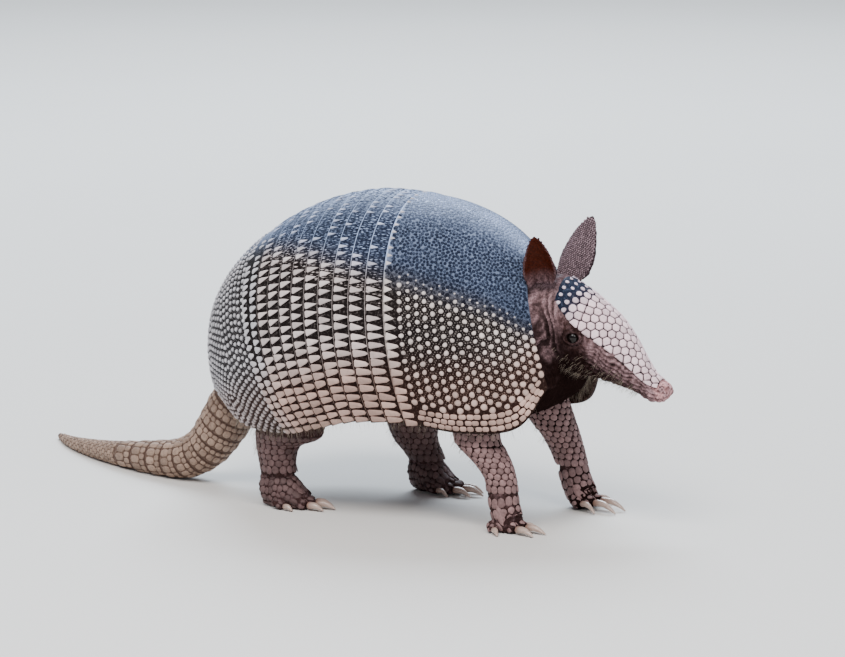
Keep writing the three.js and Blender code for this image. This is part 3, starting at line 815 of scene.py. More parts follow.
def horn_material(name, pale, ground, look):
    """Shell horn: the marks choose its colours, and dust, wear and fine pits break them up. The
    ground between scales is matt and the scales' tops are polished."""
    material, tree, shader, place = new_material(name, 0.42, 0.1)
    shader.inputs["Sheen Weight"].default_value = look.sheen
    shader.inputs["Sheen Roughness"].default_value = 0.35
    shader.inputs["Sheen Tint"].default_value = colour(SHEEN_TINT)
    slate, blush, tone, light = masks(tree)
    dust = mottled(tree, place, size=0.0016, low=-0.14, high=0.1)
    base = use(tree, horn_group(), {
        "Pale": colour(pale), "Blush": colour(look.blush), "Slate pale": colour(look.slate_pale),
        "Ground": colour(ground), "Blush ground": colour(look.blush_ground),
        "Slate ground": colour(look.slate), "Slate": slate, "Blushing": blush, "Tone": tone,
        "Rise": math_node(tree, "ADD", light, dust, True)})["Color"]
    tree.links.new(scaled(tree, base, mottled(tree, place, 0.026, 0.84, 1.1)),
                   shader.inputs["Base Color"])
    worn = mottled(tree, place, size=0.004, low=-0.08, high=0.1)
    tree.links.new(math_node(tree, "ADD", worn, ranged(tree, light, 0.0, 1.0, 0.62, 0.44)),
                   shader.inputs["Roughness"])
    pits = mottled(tree, place, size=0.0006, low=0.0, high=0.6)
    set_bump(tree, shader, pits, strength=0.6, distance=0.3)
    return material


def skin_material(look):
    """Bare skin: brown on the legs, pink on neck and snout, dark on the cheek, red-brown inside
    the ears and grey behind them, with fine creases and a pebbled grain."""
    material, tree, shader, place = new_material("Skin", 0.6, 0.0)
    shader.inputs["Coat Roughness"].default_value = 0.4
    pink, dark, ear_inside, ear_behind = masks(tree)
    tree.links.new(ranged(tree, dark, 0.0, 0.7, 0.12, 0.0), shader.inputs["Coat Weight"])
    grain = use(tree, pebble_group(), {"Vector": place, "Size": 0.0017})
    pinker = math_node(tree, "ADD", pink, mottled(tree, place, 0.0035, -0.22, 0.22), True)
    base = mix(tree, pinker, colour(look.leg), colour(look.pink))
    base = mix(tree, math_node(tree, "SUBTRACT", pink, 1.0, True), base, colour(look.snout))
    base = mix(tree, dark, base, colour(look.dark))
    base = mix(tree, ear_inside, base, colour(look.ear_inside))
    behind = mix(tree, grain["Edge"], colour(look.ear_behind), colour(look.dark))
    base = mix(tree, ear_behind, base, behind)
    tree.links.new(scaled(tree, base, mottled(tree, place, 0.0012, 0.55, 1.45)),
                   shader.inputs["Base Color"])
    creases = mottled(tree, place, size=0.0016, low=0.0, high=0.8)
    height = math_node(tree, "ADD", creases, math_node(tree, "MULTIPLY", grain["Height"], 0.5))
    set_bump(tree, shader, height, strength=0.8, distance=0.45)
    return material


def scale_material(name, pale, ground, rough=0.5):
    """Scales of legs and tail: a pale worn top over dark joints, each with its own tone."""
    material, tree, shader, place = new_material(name, rough, 0.16)
    _, _, tone, light = masks(tree)
    rise = math_node(tree, "ADD", light, mottled(tree, place, 0.002, -0.35, 0.15), True)
    top = scaled(tree, pale[:], ranged(tree, tone, -1.0, 1.0, 0.24, 1.12))
    tree.links.new(mix(tree, rise, colour(ground), top), shader.inputs["Base Color"])
    pits = mottled(tree, place, size=0.0008)
    set_bump(tree, shader, pits, strength=0.5, distance=0.25)
    return material

# ---- settings


def colour_setting(name, description, default):
    """A colour that the user may change."""
    return bpy.props.FloatVectorProperty(name=name, description=description, default=default,
                                         subtype="COLOR", min=0, max=1)


def size_setting(name, description, default):
    """A size in metres that the user may change."""
    return bpy.props.FloatProperty(name=name, description=description, default=default,
                                   subtype="DISTANCE", unit="LENGTH", min=0.0001, max=0.05)


class ShellSettings(bpy.types.PropertyGroup):
    """Sizes and colours of the shell's scales."""

    shoulder_pitch: size_setting("Shoulder pitch", "Distance between the rosettes", 0.0056)
    rump_pitch: size_setting("Rump pitch", "Distance between the rump's beads", 0.0051)
    band_pitch: size_setting("Band pitch", "Distance between the wedges of a band", 0.0061)
    head_pitch: size_setting("Head pitch", "Distance between the head's plates", 0.0056)
    net_size: size_setting("Net size", "Size of the pebbles over the dark back", 0.0026)
    tick_size: size_setting("Tick size", "Distance between the ticks on the dark bands", 0.0015)
    sheen: bpy.props.FloatProperty(name="Sheen", description="Cool bloom at grazing angles",
                                   default=0.03, min=0, max=1)
    pale: colour_setting("Cream", "Rosettes of the flank", (0.74, 0.65, 0.61))
    rump: colour_setting("Rump", "Beads of the rump", (0.63, 0.61, 0.64))
    band: colour_setting("Band", "Wedges of the bands", (0.70, 0.60, 0.58))
    head: colour_setting("Head", "Plates of the head", (0.98, 0.74, 0.79))
    blush: colour_setting("Blush", "Scales near the rim", (0.58, 0.39, 0.33))
    blush_ground: colour_setting("Blush ground", "Ground near the rim", (0.018, 0.006, 0.004))
    slate: colour_setting("Slate", "Ground of the back", (0.009, 0.014, 0.033))
    # Slate light is also the colour that the painted sky sheen along the middle of the back
    # lightens towards.
    slate_pale: colour_setting("Slate light", "Raised horn of the back", (0.41, 0.52, 0.78))
    ground: colour_setting("Ground", "Dark horn between the scales", (0.006, 0.003, 0.003))


class SkinSettings(bpy.types.PropertyGroup):
    """Sizes and colours of the skin and of what grows on it."""

    grain: size_setting("Skin mesh", "Edge length of the skin's mesh", 0.001)
    leg_pitch: size_setting("Leg scale", "Distance between the scales of the legs", 0.0042)
    hair: size_setting("Hair", "Length of the hairs under the belly's edge", 0.009)
    leg: colour_setting("Leg", "Skin of legs and belly", (0.042, 0.020, 0.019))
    # Pink is also laid on the folds' ridges, in part as a painted highlight.
    pink: colour_setting("Pink", "Skin of neck and snout", (0.40, 0.25, 0.265))
    snout: colour_setting("Snout", "Tip of the snout", (0.74, 0.38, 0.38))
    # Dark also paints shade into the folds' hollows, the nostrils and the mouth's slit.
    dark: colour_setting("Dark", "Skin of cheek and throat", (0.010, 0.005, 0.0045))
    ear_inside: colour_setting("Ear inside", "Hollow of the ears", (0.038, 0.006, 0.002))
    ear_behind: colour_setting("Ear behind", "Back of the ears", (0.07, 0.042, 0.052))
    ear_scale: colour_setting("Ear scales", "Tiny scales behind the ears", (0.30, 0.21, 0.235))
    ear_pitch: size_setting("Ear scale", "Distance between the scales of the ears", 0.0015)
    leg_scale: colour_setting("Leg scales", "Scales of legs and feet", (0.30, 0.185, 0.18))
    tail_scale: colour_setting("Tail scales", "Scales of the tail", (0.36, 0.25, 0.19))
    tail_joint: colour_setting("Tail joints", "Skin between its scales", (0.085, 0.048, 0.035))
    claw: colour_setting("Claw", "Horn of the claws", (0.52, 0.40, 0.34))


def shell_look():
    """The shell's settings."""
    return bpy.context.scene.armadillo_shell


def skin_look():
    """The skin's settings."""
    return bpy.context.scene.armadillo_skin


class Maker:
    """What the operators share."""

    bl_options = {"REGISTER", "UNDO"}


# ---- shell

SHELL_COLUMNS = 180          # points across a plate of the shell, rim to rim
TUCK = 0.0012                # how far on a plate starts under the one ahead, in u
SHOULDER_LIP = 0.002         # how far the shoulder shield reaches over the first band, in u
SHOULDER_ROW = 0.0205        # depth in u of the row of wedges along its rear edge
SHOULDER_RIM = 0.925         # |v| where the rows along its rims start
RIM_STEP = 0.022             # |v| from one of those rows to the next
RIM_PITCH = 5.4              # mm from one of their scales to the next
WEDGE_SIDES = 22             # points round a wedge and round a scale of the rims
RUMP_ROW = 0.026             # depth in u of one row of wedges on the rump
LIGHT_TONE = 0.85            # tone of the ground between the scales


def shell_shares(q):
    """Slate and blush at places on the shell."""
    return slate_share(q[:, 0], q[:, 1]), blush_share(q[:, 1])


def plate_marks(u, v, share, line, net):
    """Marks of a plate's ground: no rise, but for the net's light over the dark back, lightened
    more towards the middle of the back as a painted sky sheen, and the thin pale line along the
    rear edge, a painted highlight on the lip. The inside is dark, and brown near the rims."""
    slate = slate_share(u, v)
    # Towards the middle of the back the net is lightened further: a painted sky sheen.
    rise = slate * (net * (1.1 - 0.6 * np.abs(v) / 0.6) + 0.7 * sky_sheen_share(v)**2)
    # The pale line along the rear edge is a painted highlight on the lip.
    rise = np.maximum(rise, ease((share - line) / (1 - line) * 3) * (0.35 + 0.65 * slate))
    blush, tone = blush_share(v).ravel(), np.full(u.size, LIGHT_TONE)
    return np.concatenate([np.column_stack([slate.ravel(), blush, tone, rise.ravel()]),
                           np.column_stack([0 * blush, blush, tone, 0.07 * blush])])


def shell_plate(name, node, material, ends, rows, outside, inside, line, net):
    """Plate between two hoops: an outer and an inner grid whose height is a function of the
    share of the way from its front to its rear edge. Rows crowd towards the rear edge, as one
    less a power of what is left."""
    share = 1 - (1 - np.linspace(0, 1, rows))**1.6
    u = (ends[0] + (ends[1] - ends[0]) * share)[:, None]
    v = np.linspace(-1, 1, SHELL_COLUMNS)[None, :]
    points, faces = wall(shell(u, v, outside(share)[:, None] + 0 * v),
                         shell(u, v, inside(share)[:, None] + 0 * v))
    marks = plate_marks(*np.broadcast_arrays(u, v, share[:, None]), line, net)
    build(name, points, faces, material, "shell", [node], marks)


def shield_inside(share):
    """Height of a shield's inside: as deep all over as the plate is thick."""
    return np.full_like(share, -PLATE)


def shield_rise(u):
    """Height of the shoulder shield over the shell's surface: it lifts to its rear lip."""
    return 0.9 * ease((u / band_edge(0) - 0.88) / 0.11)


def raised_shell(u, v, out=0.0):
    """Shell's outside with the shoulder shield's rear lip on it."""
    return shell(u, v, shield_rise(np.asarray(u, float)) + out)


def scute_field(name, surface, box, material, slot, marks, pitch, rounds, fill, cap, height,
                profile, odd, sides=12, limit=None, rounding=1):
    """Scales packed over a patch. fill is each one's share of its cell and cap its largest
    radius over the pitch: a number, or a function of the place. marks gives slate, blush and a
    gain in size at each place. Two waves round each outline make it odd."""
    low, high = np.asarray(box, float)
    q = spread(surface, rows_of(surface, low, high, pitch), low, high, pitch, rounds)
    if limit is not None:
        q = q[limit(q)]
    rng = np.random.default_rng(len(q))
    size = cells(surface, q, sides, pitch * CELL_REACH)
    slate, blush, gain = marks(q)
    gain = gain * (1 + odd * rng.normal(size=len(q)))
    a = turns(sides)
    waves = (1 + odd * np.cos(2 * a + rng.uniform(0, 6.3, (len(q), 1)))
             + odd * np.cos(3 * a + rng.uniform(0, 6.3, (len(q), 1))))
    fill, cap = (np.broadcast_to(x(q) if callable(x) else x, len(q)) for x in (fill, cap))
    radius = evened(np.minimum(size * fill[:, None], (pitch * cap * gain)[:, None] * waves),
                    rounding)
    lay_scales(name, surface, q, radius, material, slot, box, (slate, blush),
               rng.uniform(0, 1, len(q)), height=height * (0.5 + 0.5 * gain), profile=profile)
    return q, radius


def beads_between(name, surface, q, pitch, box, material, size, keep):
    """Small beads where three scales meet and halfway between two: the mean of the places of
    each scale and of one or two neighbours that follow each other round it."""
    here, first, second, _ = tangents(surface, q)
    gap = squared_gaps(here)
    ring = np.argpartition(gap, 6, axis=1)[:, :6]
    away = here[ring] - here[:, None]
    turn = np.arctan2(*(np.einsum("nkj,nj->nk", away, way) for way in (second, first)))
    ring = np.take_along_axis(ring, np.argsort(turn, axis=1), 1)
    after = np.roll(ring, -1, 1)
    me = np.arange(len(q))[:, None] + 0 * ring
    pair = (np.take_along_axis(gap, ring, 1) < (1.5 * pitch)**2) & (me < ring)
    three = pair & (gap[ring, after] < (1.6 * pitch)**2) & (me < after)
    spots = np.concatenate([(q[me[pair]] + q[ring[pair]]) / 2,
                            (q[me[three]] + q[ring[three]] + q[after[three]]) / 3])
    big = np.concatenate([np.full(pair.sum(), 0.8), np.full(three.sum(), 1.15)])
    held = keep(spots)
    spots, big = spots[held], big[held]
    rng = np.random.default_rng(len(spots))
    radius = (size * big * rng.uniform(0.8, 1.15, len(spots)))[:, None] * np.ones((1, 6))
    lay_scales(name, surface, spots, radius, material, "shell", box, shell_shares(spots),
               rng.uniform(0, 0.8, len(spots)), height=0.32, profile=SMALL_BEAD, top=0.34)


def pebble_net(name, surface, box, pitch, others, clear, material):
    """Low dark pebbles close together over the dark back, lighter round their feet, and none where
    a pale scale stands. Along the middle of the back their tops and feet are lightened as a
    painted sky sheen."""
    low, high = np.asarray(box, float)
    rng = np.random.default_rng(21)
    q = rows_of(surface, low, high, pitch)
    step = 0.32 * pitch * rng.normal(size=q.shape)
    q = q + np.einsum("nk,nki->ni", step, tangents(surface, q)[-1])
    q = spread(surface, q, low, high, pitch * 0.86, 4)
    q = q[slate_share(q[:, 0], q[:, 1]) > rng.uniform(0.1, 0.5, len(q))]
    here, there = surface(q[:, 0], q[:, 1]), surface(others[:, 0], others[:, 1])
    gap = ((here[:, None] - there[None])**2).sum(-1)
    q = q[(gap > (clear[None, :] + pitch * 0.3)**2).all(1)]
    radius = evened(cells(surface, q, 8, pitch * 0.75) * rng.uniform(0.86, 1.02, (len(q), 1)))
    crown_sheen = sky_sheen_share(q[:, 1])
    # Along the middle of the back both tops and feet are lightened: a painted sky sheen.
    top = 0.08 * rng.uniform(size=len(q)) + (0.3 + 0.4 * crown_sheen) * crown_sheen
    foot = rng.uniform(0.15, 1.0, len(q)) * (1 - 0.5 * crown_sheen) + 0.5 * crown_sheen
    lay_scales(name, surface, q, radius, material, "shell", box, shell_shares(q),
               rng.uniform(0, 1, len(q)), height=0.36, profile=PEBBLE, foot=foot, top=top)


def across_shell(u, pitch, rng, stray):
    """Places v a pitch apart across the shell on one hoop, each gone astray by a share of it."""
    v = np.linspace(-1, 1, 400)
    far = lengths(shell(u + 0 * v, v))
    count = int(round(far[-1] / pitch))
    places = (np.arange(count) + 0.5 + rng.uniform(-stray, stray, count)) / count
    return np.interp(places * far[-1], far, v)


def wedge_outline(length, width, slant, tilt):
    """Distance to the edge of a wedge in each direction from a third of its length: the nearest
    of its rear line, its front line and two sides that lean in towards the front, rounded where
    they meet by a powered sum."""
    a = turns(WEDGE_SIDES)[None, :] - tilt[:, None]
    half = np.arctan2(width / 2, length) * slant
    side = -np.sin(half) * length / 3 + np.cos(half) * width / 2
    facing = -np.sin(half)[:, None] * np.cos(a) + np.cos(half)[:, None] * np.abs(np.sin(a))
    lines = [(length / 3)[:, None] / np.maximum(np.cos(a), 1e-6),
             (length * 2 / 3)[:, None] / np.maximum(-np.cos(a), 1e-6),
             side[:, None] / np.maximum(facing, 1e-6)]
    return sum(np.where(line > 0, line, FAR)**-11.0 for line in lines)**(-1 / 11)


def wedge_row(low, high, pitch, rng, fill=1.04):
    """One row of wedges across the shell between two hoops: broad behind and drawn out forward,
    blunter towards the rims, few and small over the dark back. Gives places and outlines."""
    v = across_shell((low + high) / 2, pitch, rng, 0.1)
    u = (low + high) / 2 + 0 * v
    exposed = np.linalg.norm(shell(low + 0 * v, v) - shell(high + 0 * v, v), axis=1)
    dark = ease((curve(SLATE_BORDER, u)[..., 0] + 0.15 - np.abs(v)) / 0.3)
    rim = ease((np.abs(v) - 0.56) / 0.3)
    size = (1 - 0.48 * dark) * rng.uniform(0.86, 1.05, len(v))
    length = exposed * (fill - 0.06 * rim) * size
    width = pitch * (0.98 + 0.02 * rim) * (1 - 0.5 * dark) * rng.uniform(0.9, 1.04, len(v))
    spot = low + (high - low) * (exposed * 0.975 - length / 3) / exposed
    outline = wedge_outline(length, width, 1 - 0.55 * rim, rng.normal(0, 0.05, len(v)))
    held = rng.uniform(0, 1, len(v)) > dark * 0.45
    return np.column_stack([spot, v])[held], outline[held]


def rim_row(number, side, rng):
    """One row of oblong scales along a rim of the shoulder shield. Gives places and outlines."""
    t = np.linspace(0.012, band_edge(0) - 0.024, 300)
    v = side * (SHOULDER_RIM + 0.013 + RIM_STEP * number)
    far = lengths(raised_shell(t, v))
    count = int(far[-1] / RIM_PITCH)
    places = np.arange(count) + 0.5 + 0.5 * (number % 2) + rng.uniform(-0.08, 0.08, count)
    u = np.interp(places / (count + 0.5) * far[-1], far, t)
    half = far[-1] / count / 2 * rng.uniform(0.84, 0.95, count)
    tall = np.linalg.norm(raised_shell(u, v) - raised_shell(u, v + RIM_STEP / 2), axis=1)
    outline = oblong(half, tall * rng.uniform(0.78, 0.9, count), WEDGE_SIDES, 3.4)
    return np.column_stack([u, np.full(count, v)]), outline


class ARMADILLO_OT_shoulder(Maker, bpy.types.Operator):
    """Shoulder shield: a smooth plate, rosettes packed over it, beads between them, pebbles over
    the back, wedges along the rear lip and oblong scales along the rims"""

    bl_idname = "armadillo.shoulder"
    bl_label = "Shoulder shield"

    def execute(self, context):
        look = shell_look()
        material = horn_material("Shoulder horn", look.pale, look.ground, look)
        front, rear = band_edge(0) - SHOULDER_ROW, band_edge(0) + SHOULDER_LIP
        shell_plate(
            "shell_shoulder", "scapular_shield", material, (0.0, rear), 60,
            lambda s: (shield_rise(s * rear) - 0.9 * (1 - ease(s / 0.03))
                       - 0.4 * ease((s - 0.988) / 0.012)),
            shield_inside, line=0.985, net=0.42)
        box = [[0.006, 0.006 - SHOULDER_RIM], [front, SHOULDER_RIM - 0.006]]
        pitch = look.shoulder_pitch / MM

        def crowd(q):
            """1 near the rims, and less towards the neck, where the rosettes fill their cells."""
            side = np.abs(q[:, 1])
            return np.maximum(ease((side - 0.77) / 0.15),
                              ease((0.1 - q[:, 0]) / 0.08) * ease((side - 0.6) / 0.2) * 0.6)

        def marks(q):
            slate, blush = shell_shares(q)
            return slate * 0.3, blush * 0.8, 1 - 0.6 * ease(slate * 1.4)

        q, radius = scute_field(
            "shell_shoulder_rosettes", raised_shell, box, material, "shell", marks, pitch,
            rounds=40, fill=lambda q: 0.82 + 0.05 * crowd(q),
            cap=lambda q: 0.315 + 0.12 * crowd(q), height=0.9, profile=ROSETTE, odd=0.09,
            limit=lambda q: slate_share(q[:, 0], q[:, 1]) < 0.8)
        beads_between("shell_shoulder_beads", raised_shell, q, pitch, box, material, size=0.52,
                      keep=lambda p: ((np.abs(p[:, 1]) < 0.9)
                                      & (slate_share(p[:, 0], p[:, 1]) < 0.5)))
        rng = np.random.default_rng(3)
        rows = [wedge_row(front, rear - 0.0015, look.band_pitch / MM, rng)]
        row, outline = rows[0]
        rows += [rim_row(number, side, rng) for number in range(3) for side in (1, -1)]
        edge, shape = (np.concatenate(x) for x in zip(*rows))
        slate, blush = shell_shares(edge)
        lay_scales("shell_shoulder_edges", raised_shell, edge, shape, material, "shell",
                   [[0, -1], [band_edge(0), 1]], (slate * 0.3, blush),
                   rng.uniform(0, 1, len(edge)), height=0.5, profile=WEDGE)
        pebble_net("shell_shoulder_pebbles", raised_shell, [[0.008, -0.75], [rear - 0.006, 0.75]],
                   look.net_size / MM, np.concatenate([q, row]),
                   np.concatenate([radius.mean(1), outline.mean(1)]), material)
        return {"FINISHED"}


def band_height(share):
    """Height of a band over the shell's surface, rising from its front edge to its rear lip."""
    return -0.65 + 1.7 * share


def over_bands(q):
    """Height over the shell's surface of the band that lies at each place."""
    passed = np.floor((q[:, 0] - BAND_START - TUCK) / BAND_STEP)
    first = BAND_START + TUCK + BAND_STEP * passed
    return band_height((q[:, 0] - first) / (BAND_STEP + 0.003))


class ARMADILLO_OT_bands(Maker, bpy.types.Operator):
    """Nine bands: each a plate whose rear lip lies over the next, with a row of pale wedges, and
    fine ticks over the dark back"""

    bl_idname = "armadillo.bands"
    bl_label = "Bands"

    def execute(self, context):
        look = shell_look()
        material = horn_material("Band horn", look.band, look.ground, look)
        rows, ticks = [], []
        rng = np.random.default_rng(9)
        for k in range(BANDS):
            low, high = band_edge(k) + TUCK, band_edge(k + 1) + 0.0042
            shell_plate(f"shell_band_{k + 1}", f"band_{k + 1}", material, (low, high), 18,
                        lambda s: band_height(s) - 0.35 * ease((s - 0.975) / 0.025),
                        lambda s: -PLATE + (PLATE - 0.25) * ease((s - 0.8) / 0.1),
                        line=0.945, net=0.05)
            rows.append(wedge_row(low + 0.002, high, look.band_pitch / MM, rng))
            for line in range(3):
                v = across_shell((low + high) / 2, look.tick_size / MM, rng, 0.45)
                u = low + (high - low) * (0.24 + 0.27 * line + rng.uniform(-0.1, 0.1, len(v)))
                on = slate_share(u, v * 0.86) > rng.uniform(0.02, 0.6, len(v))
                ticks.append(np.column_stack([u, v])[on])
        box = [[BAND_START, -1], [band_edge(BANDS), 1]]
        q, radius = (np.concatenate(x) for x in zip(*rows))
        slate, blush = shell_shares(q)
        lay_scales("shell_band_wedges", shell, q, radius, material, "shell", box,
                   (slate * 0.7, blush), rng.uniform(0, 1, len(q)), height=0.5,
                   base=over_bands(q), profile=WEDGE)
        q = np.concatenate(ticks)
        radius = oblong(rng.uniform(0.8, 2.5, len(q)), rng.uniform(0.3, 0.52, len(q)), 6, 2)
        bright = rng.uniform(0.15, 1.0, len(q))
        lay_scales("shell_band_ticks", shell, q, radius, material, "shell", box, shell_shares(q),
                   rng.uniform(0, 1, len(q)), height=0.3, base=over_bands(q), profile=TICK,
                   top=bright)
        return {"FINISHED"}


class ARMADILLO_OT_rump(Maker, bpy.types.Operator):
    """Rump shield: a smooth plate covered with close round beads, drawn out next to the bands"""

    bl_idname = "armadillo.rump"
    bl_label = "Rump shield"

    def execute(self, context):
        look = shell_look()
        material = horn_material("Rump horn", look.rump, look.ground, look)
        start = band_edge(BANDS) + TUCK
        shell_plate("shell_rump", "pelvic_shield", material, (start, 1.0), 70,
                    lambda s: -0.65 * (1 - ease(s / 0.03)) - 0.5 * ease((s - 0.995) / 0.005),
                    shield_inside, line=0.999, net=0.12)
        rng = np.random.default_rng(12)
        pitch = look.rump_pitch / MM
        rows = [wedge_row(start + 0.003 + RUMP_ROW * k, start + 0.029 + RUMP_ROW * k,
                          pitch * (1.12 - 0.06 * k), rng, 1.02 - 0.1 * k) for k in range(2)]
        q, outline = (np.concatenate(x) for x in zip(*rows))
        slate, blush = shell_shares(q)
        lay_scales("shell_rump_wedges", shell, q, evened(outline, 2), material, "shell",
                   [[start, -1], [start + 0.07, 1]], (slate * 0.3, blush * 0.8),
                   rng.uniform(0.3, 1, len(q)), height=0.75)

        def marks(q):
            slate, blush = shell_shares(q)
            return slate * 0.3, blush * 0.4, 1 - 0.2 * slate

        box = [[start + 2 * RUMP_ROW, -0.985], [0.992, 0.985]]
        q, _ = scute_field("shell_rump_beads", shell, box, material, "shell", marks, pitch,
                           rounds=70, fill=0.8, cap=0.385, height=1.15, profile=BEAD, odd=0.06)
        beads_between("shell_rump_grains", shell, q, pitch, box, material, size=0.4,
                      keep=lambda p: np.abs(p[:, 1]) < 0.97)
        return {"FINISHED"}


# ---- head shield

SHIELD_GRID = 60             # points along and across the head shield's plate
SHIELD_GROUND = (0.028, 0.016, 0.021)


def shield_half(s):
    """Half angle that the head shield covers at s."""
    share = (s - SHIELD_FROM) / (SHIELD_TO - SHIELD_FROM)
    return curve([[a] for a in SHIELD_BORDER], share)[..., 0]


def brow(s, t, out=0.0):
    """Head shield's surface: t from one border to the other. What lies past a border is held
    at it, so scales are cut off there."""
    s, t, out = np.broadcast_arrays(np.asarray(s, float), t, out)
    s = np.clip(s, SHIELD_FROM + 0.003, SHIELD_TO - 0.002)
    return head(s, np.clip(t, -0.995, 0.995) * shield_half(s), out)


def brow_slate(s, t):
    """1 at the head shield's rear edge and 0 from a little way on."""
    return ease((0.34 - 0.06 * np.abs(t) - s) / 0.12)


class ARMADILLO_OT_head_shield(Maker, bpy.types.Operator):
    """Head shield: a thin plate with close many-sided scales"""

    bl_idname = "armadillo.head_shield"
    bl_label = "Head shield"

    def execute(self, context):
        look = shell_look()
        material = horn_material("Head horn", look.head, SHIELD_GROUND, look)
        share, t = grid(SHIELD_GRID, SHIELD_GRID)
        s = np.linspace(SHIELD_FROM, SHIELD_TO, SHIELD_GRID)[:, None]
        fall = 0.7 * np.maximum(np.abs(2 * share - 1), np.abs(t))**10
        points, faces = wall(brow(s, t, -0.15 - fall), brow(s, t, -SHIELD_PLATE + 0 * fall))
        slate = brow_slate(s, t).ravel()
        one = np.column_stack([slate, 0 * slate, 0 * slate + 0.8, 0 * slate])
        build("head_plate", points, faces, material, "head_shield", ["head_shield"],
              np.concatenate([one, one]))

        def marks(q):
            slate = brow_slate(q[:, 0], q[:, 1])
            return slate * 0.3, 0.12 * ease((q[:, 0] - 0.6) / 0.3), 1 - 0.35 * slate

        scute_field("head_scales", brow, [[SHIELD_FROM + 0.018, -0.94], [SHIELD_TO - 0.02, 0.94]],
                    material, "head_shield", marks, look.head_pitch / MM, rounds=60, fill=0.92,
                    cap=lambda q: 0.74 - 0.36 * brow_slate(q[:, 0], q[:, 1]),
                    height=0.6, profile=HEAD_SCALE, odd=0.05, sides=20, rounding=0)
        return {"FINISHED"}

# ---- skin

PLAIN_BEHIND = 96            # x behind which trunk and legs need fewer points than the face
PLAIN_WEIGHT = 0.45          # how strongly they are thinned, where what is hidden has 1
KEPT_SHARE = 0.42            # share of the skin's faces that thinning keeps


def trunk_rings():
    """Trunk: the shell's hoops drawn in by the trunk's depth, closed under the belly by an arc
    that sags as one less a square, and two smaller rings ahead of them for the chest."""
    u = np.linspace(0.045, 0.985, 50)[:, None]
    arch = shell(u, np.linspace(-TRUNK_RIM, TRUNK_RIM, 70)[None, :], -TRUNK_DEPTH)
    end = arch[:, -1:]
    k = np.linspace(0.9, -0.9, 16)[None, :, None]
    under = end * [1, 0, 1] + end * [0, 1, 0] * k - np.array([0, 0, BELLY_SAG]) * (1 - k**2)
    rings = np.concatenate([arch, under], 1)
    centre = rings[0].mean(0)
    chest = [(rings[0] - centre) * keep + centre + [forward, 0, 0]
             for keep, forward in ((0.4, 12.5), (0.62, 12), (0.86, 8))]
    return np.concatenate([np.stack(chest), rings])


def head_rings():
    """Head's rings, let in under the shield by as much as its plate is thick."""
    s = np.linspace(0, 1, 70)
    turn = np.arange(48) / 48 * 360
    angle = (turn + 180) % 360 - 180
    over = ease((shield_half(s)[:, None] - np.abs(angle)[None, :]) / 6 + 0.5)
    along = ease((s - SHIELD_FROM) / 0.02 + 0.5) * ease((SHIELD_TO - s) / 0.02 + 0.5)
    return head(s[:, None], turn[None, :], -1.0 * over * along[:, None])


def palm_path(foot):
    """Path of a foot's palm, with its half widths and heights."""
    return [[*foot_place(foot, *row[:3]), *row[3:]] for row in foot[3]]


def flesh():
    """Closed bodies that make up the flesh: trunk, neck, head, ears, legs, palms and toes."""
    turn = turns(36)[None, :]
    parts = [tube(trunk_rings()), tube(head_rings()),
             tube(side_ring(curve(NECK, np.linspace(0, 1, 16)), 40))]
    s, t = grid(30, 30)
    for spec in EARS.values():
        parts.append(wall(ear(spec, s, t, EAR_HALF), ear(spec, s, t, -EAR_HALF)))
    for path in LEGS.values():
        parts.append(tube(leg(path, s, turn)))
    for foot in FEET.values():
        parts.append(tube(limb(palm_path(foot), np.linspace(0, 1, 16)[:, None], turn)))
        for toe in foot[4]:
            path = toe_paths(foot, toe)[0]
            parts.append(tube(limb(path, np.linspace(0, 1, 12)[:, None], turn[:, ::2])))
    return [(points, outward(points, faces)) for points, faces in parts]


def baked(piece):
    """The piece's mesh with its modifiers applied."""
    view = bpy.context.evaluated_depsgraph_get()
    return bpy.data.meshes.new_from_object(piece.evaluated_get(view))


def vectors(items, key):
    """One vector of each of a mesh's items, as an array."""
    found = np.zeros(len(items) * 3, np.float32)
    items.foreach_get(key, found)
    return found.reshape(-1, 3).astype(float)


def in_millimetres(mesh):
    """A mesh's points in the solids' own frame."""
    return vectors(mesh.vertices, "co") / MM - [SHIFT / MM, 0, 0]


def relaxed(places, ends, others, share, rounds):
    """Points drawn towards the mean of their neighbours by a share, round after round."""
    count = np.bincount(ends, minlength=len(places))[:, None]
    for _ in range(rounds):
        mean = np.column_stack([np.bincount(ends, column, len(places))
                                for column in places[others].T])
        places = places + share * (mean / count - places)
    return places


def hidden_share(p):
    """1 deep under the shell, where nothing shows; 0 on belly, chest, neck and limbs."""
    inside = (p[:, 0] < PLAIN_BEHIND) & (p[:, 0] > -128)
    rim = np.interp(p[:, 0], [r[0] for r in RIM[::-1]], [r[1] for r in RIM[::-1]])
    return np.where(inside & (p[:, 2] > rim + 14), 1.0, 0.0)


def ankle_share(p):
    """1 round the ankles, where leg and foot are blended."""
    share = np.zeros(len(p))
    for foot in FEET.values():
        x, y, z = LEGS[foot[0]][-1][:3]
        apart = np.hypot(p[:, 0] - x, p[:, 1] - y)
        share = np.maximum(share, between(p[:, 2], z - 6, z + 9, 6) * ease((24 - apart) / 4))
    return share


def near(p, centre, size):
    """1 at a point, falling as the bell of the distance over a size."""
    return np.exp(-((p - np.asarray(centre, float))**2).sum(1) / size**2)


def between(x, low, high, soft):
    """1 between two values, easing to 0 outside them."""
    return ease((x - low) / soft + 0.5) * ease((high - x) / soft + 0.5)


def nostril(side):
    """Place of a nostril, a little outside the head."""
    return head(NOSTRIL[0], NOSTRIL[1] * side, 0.3)


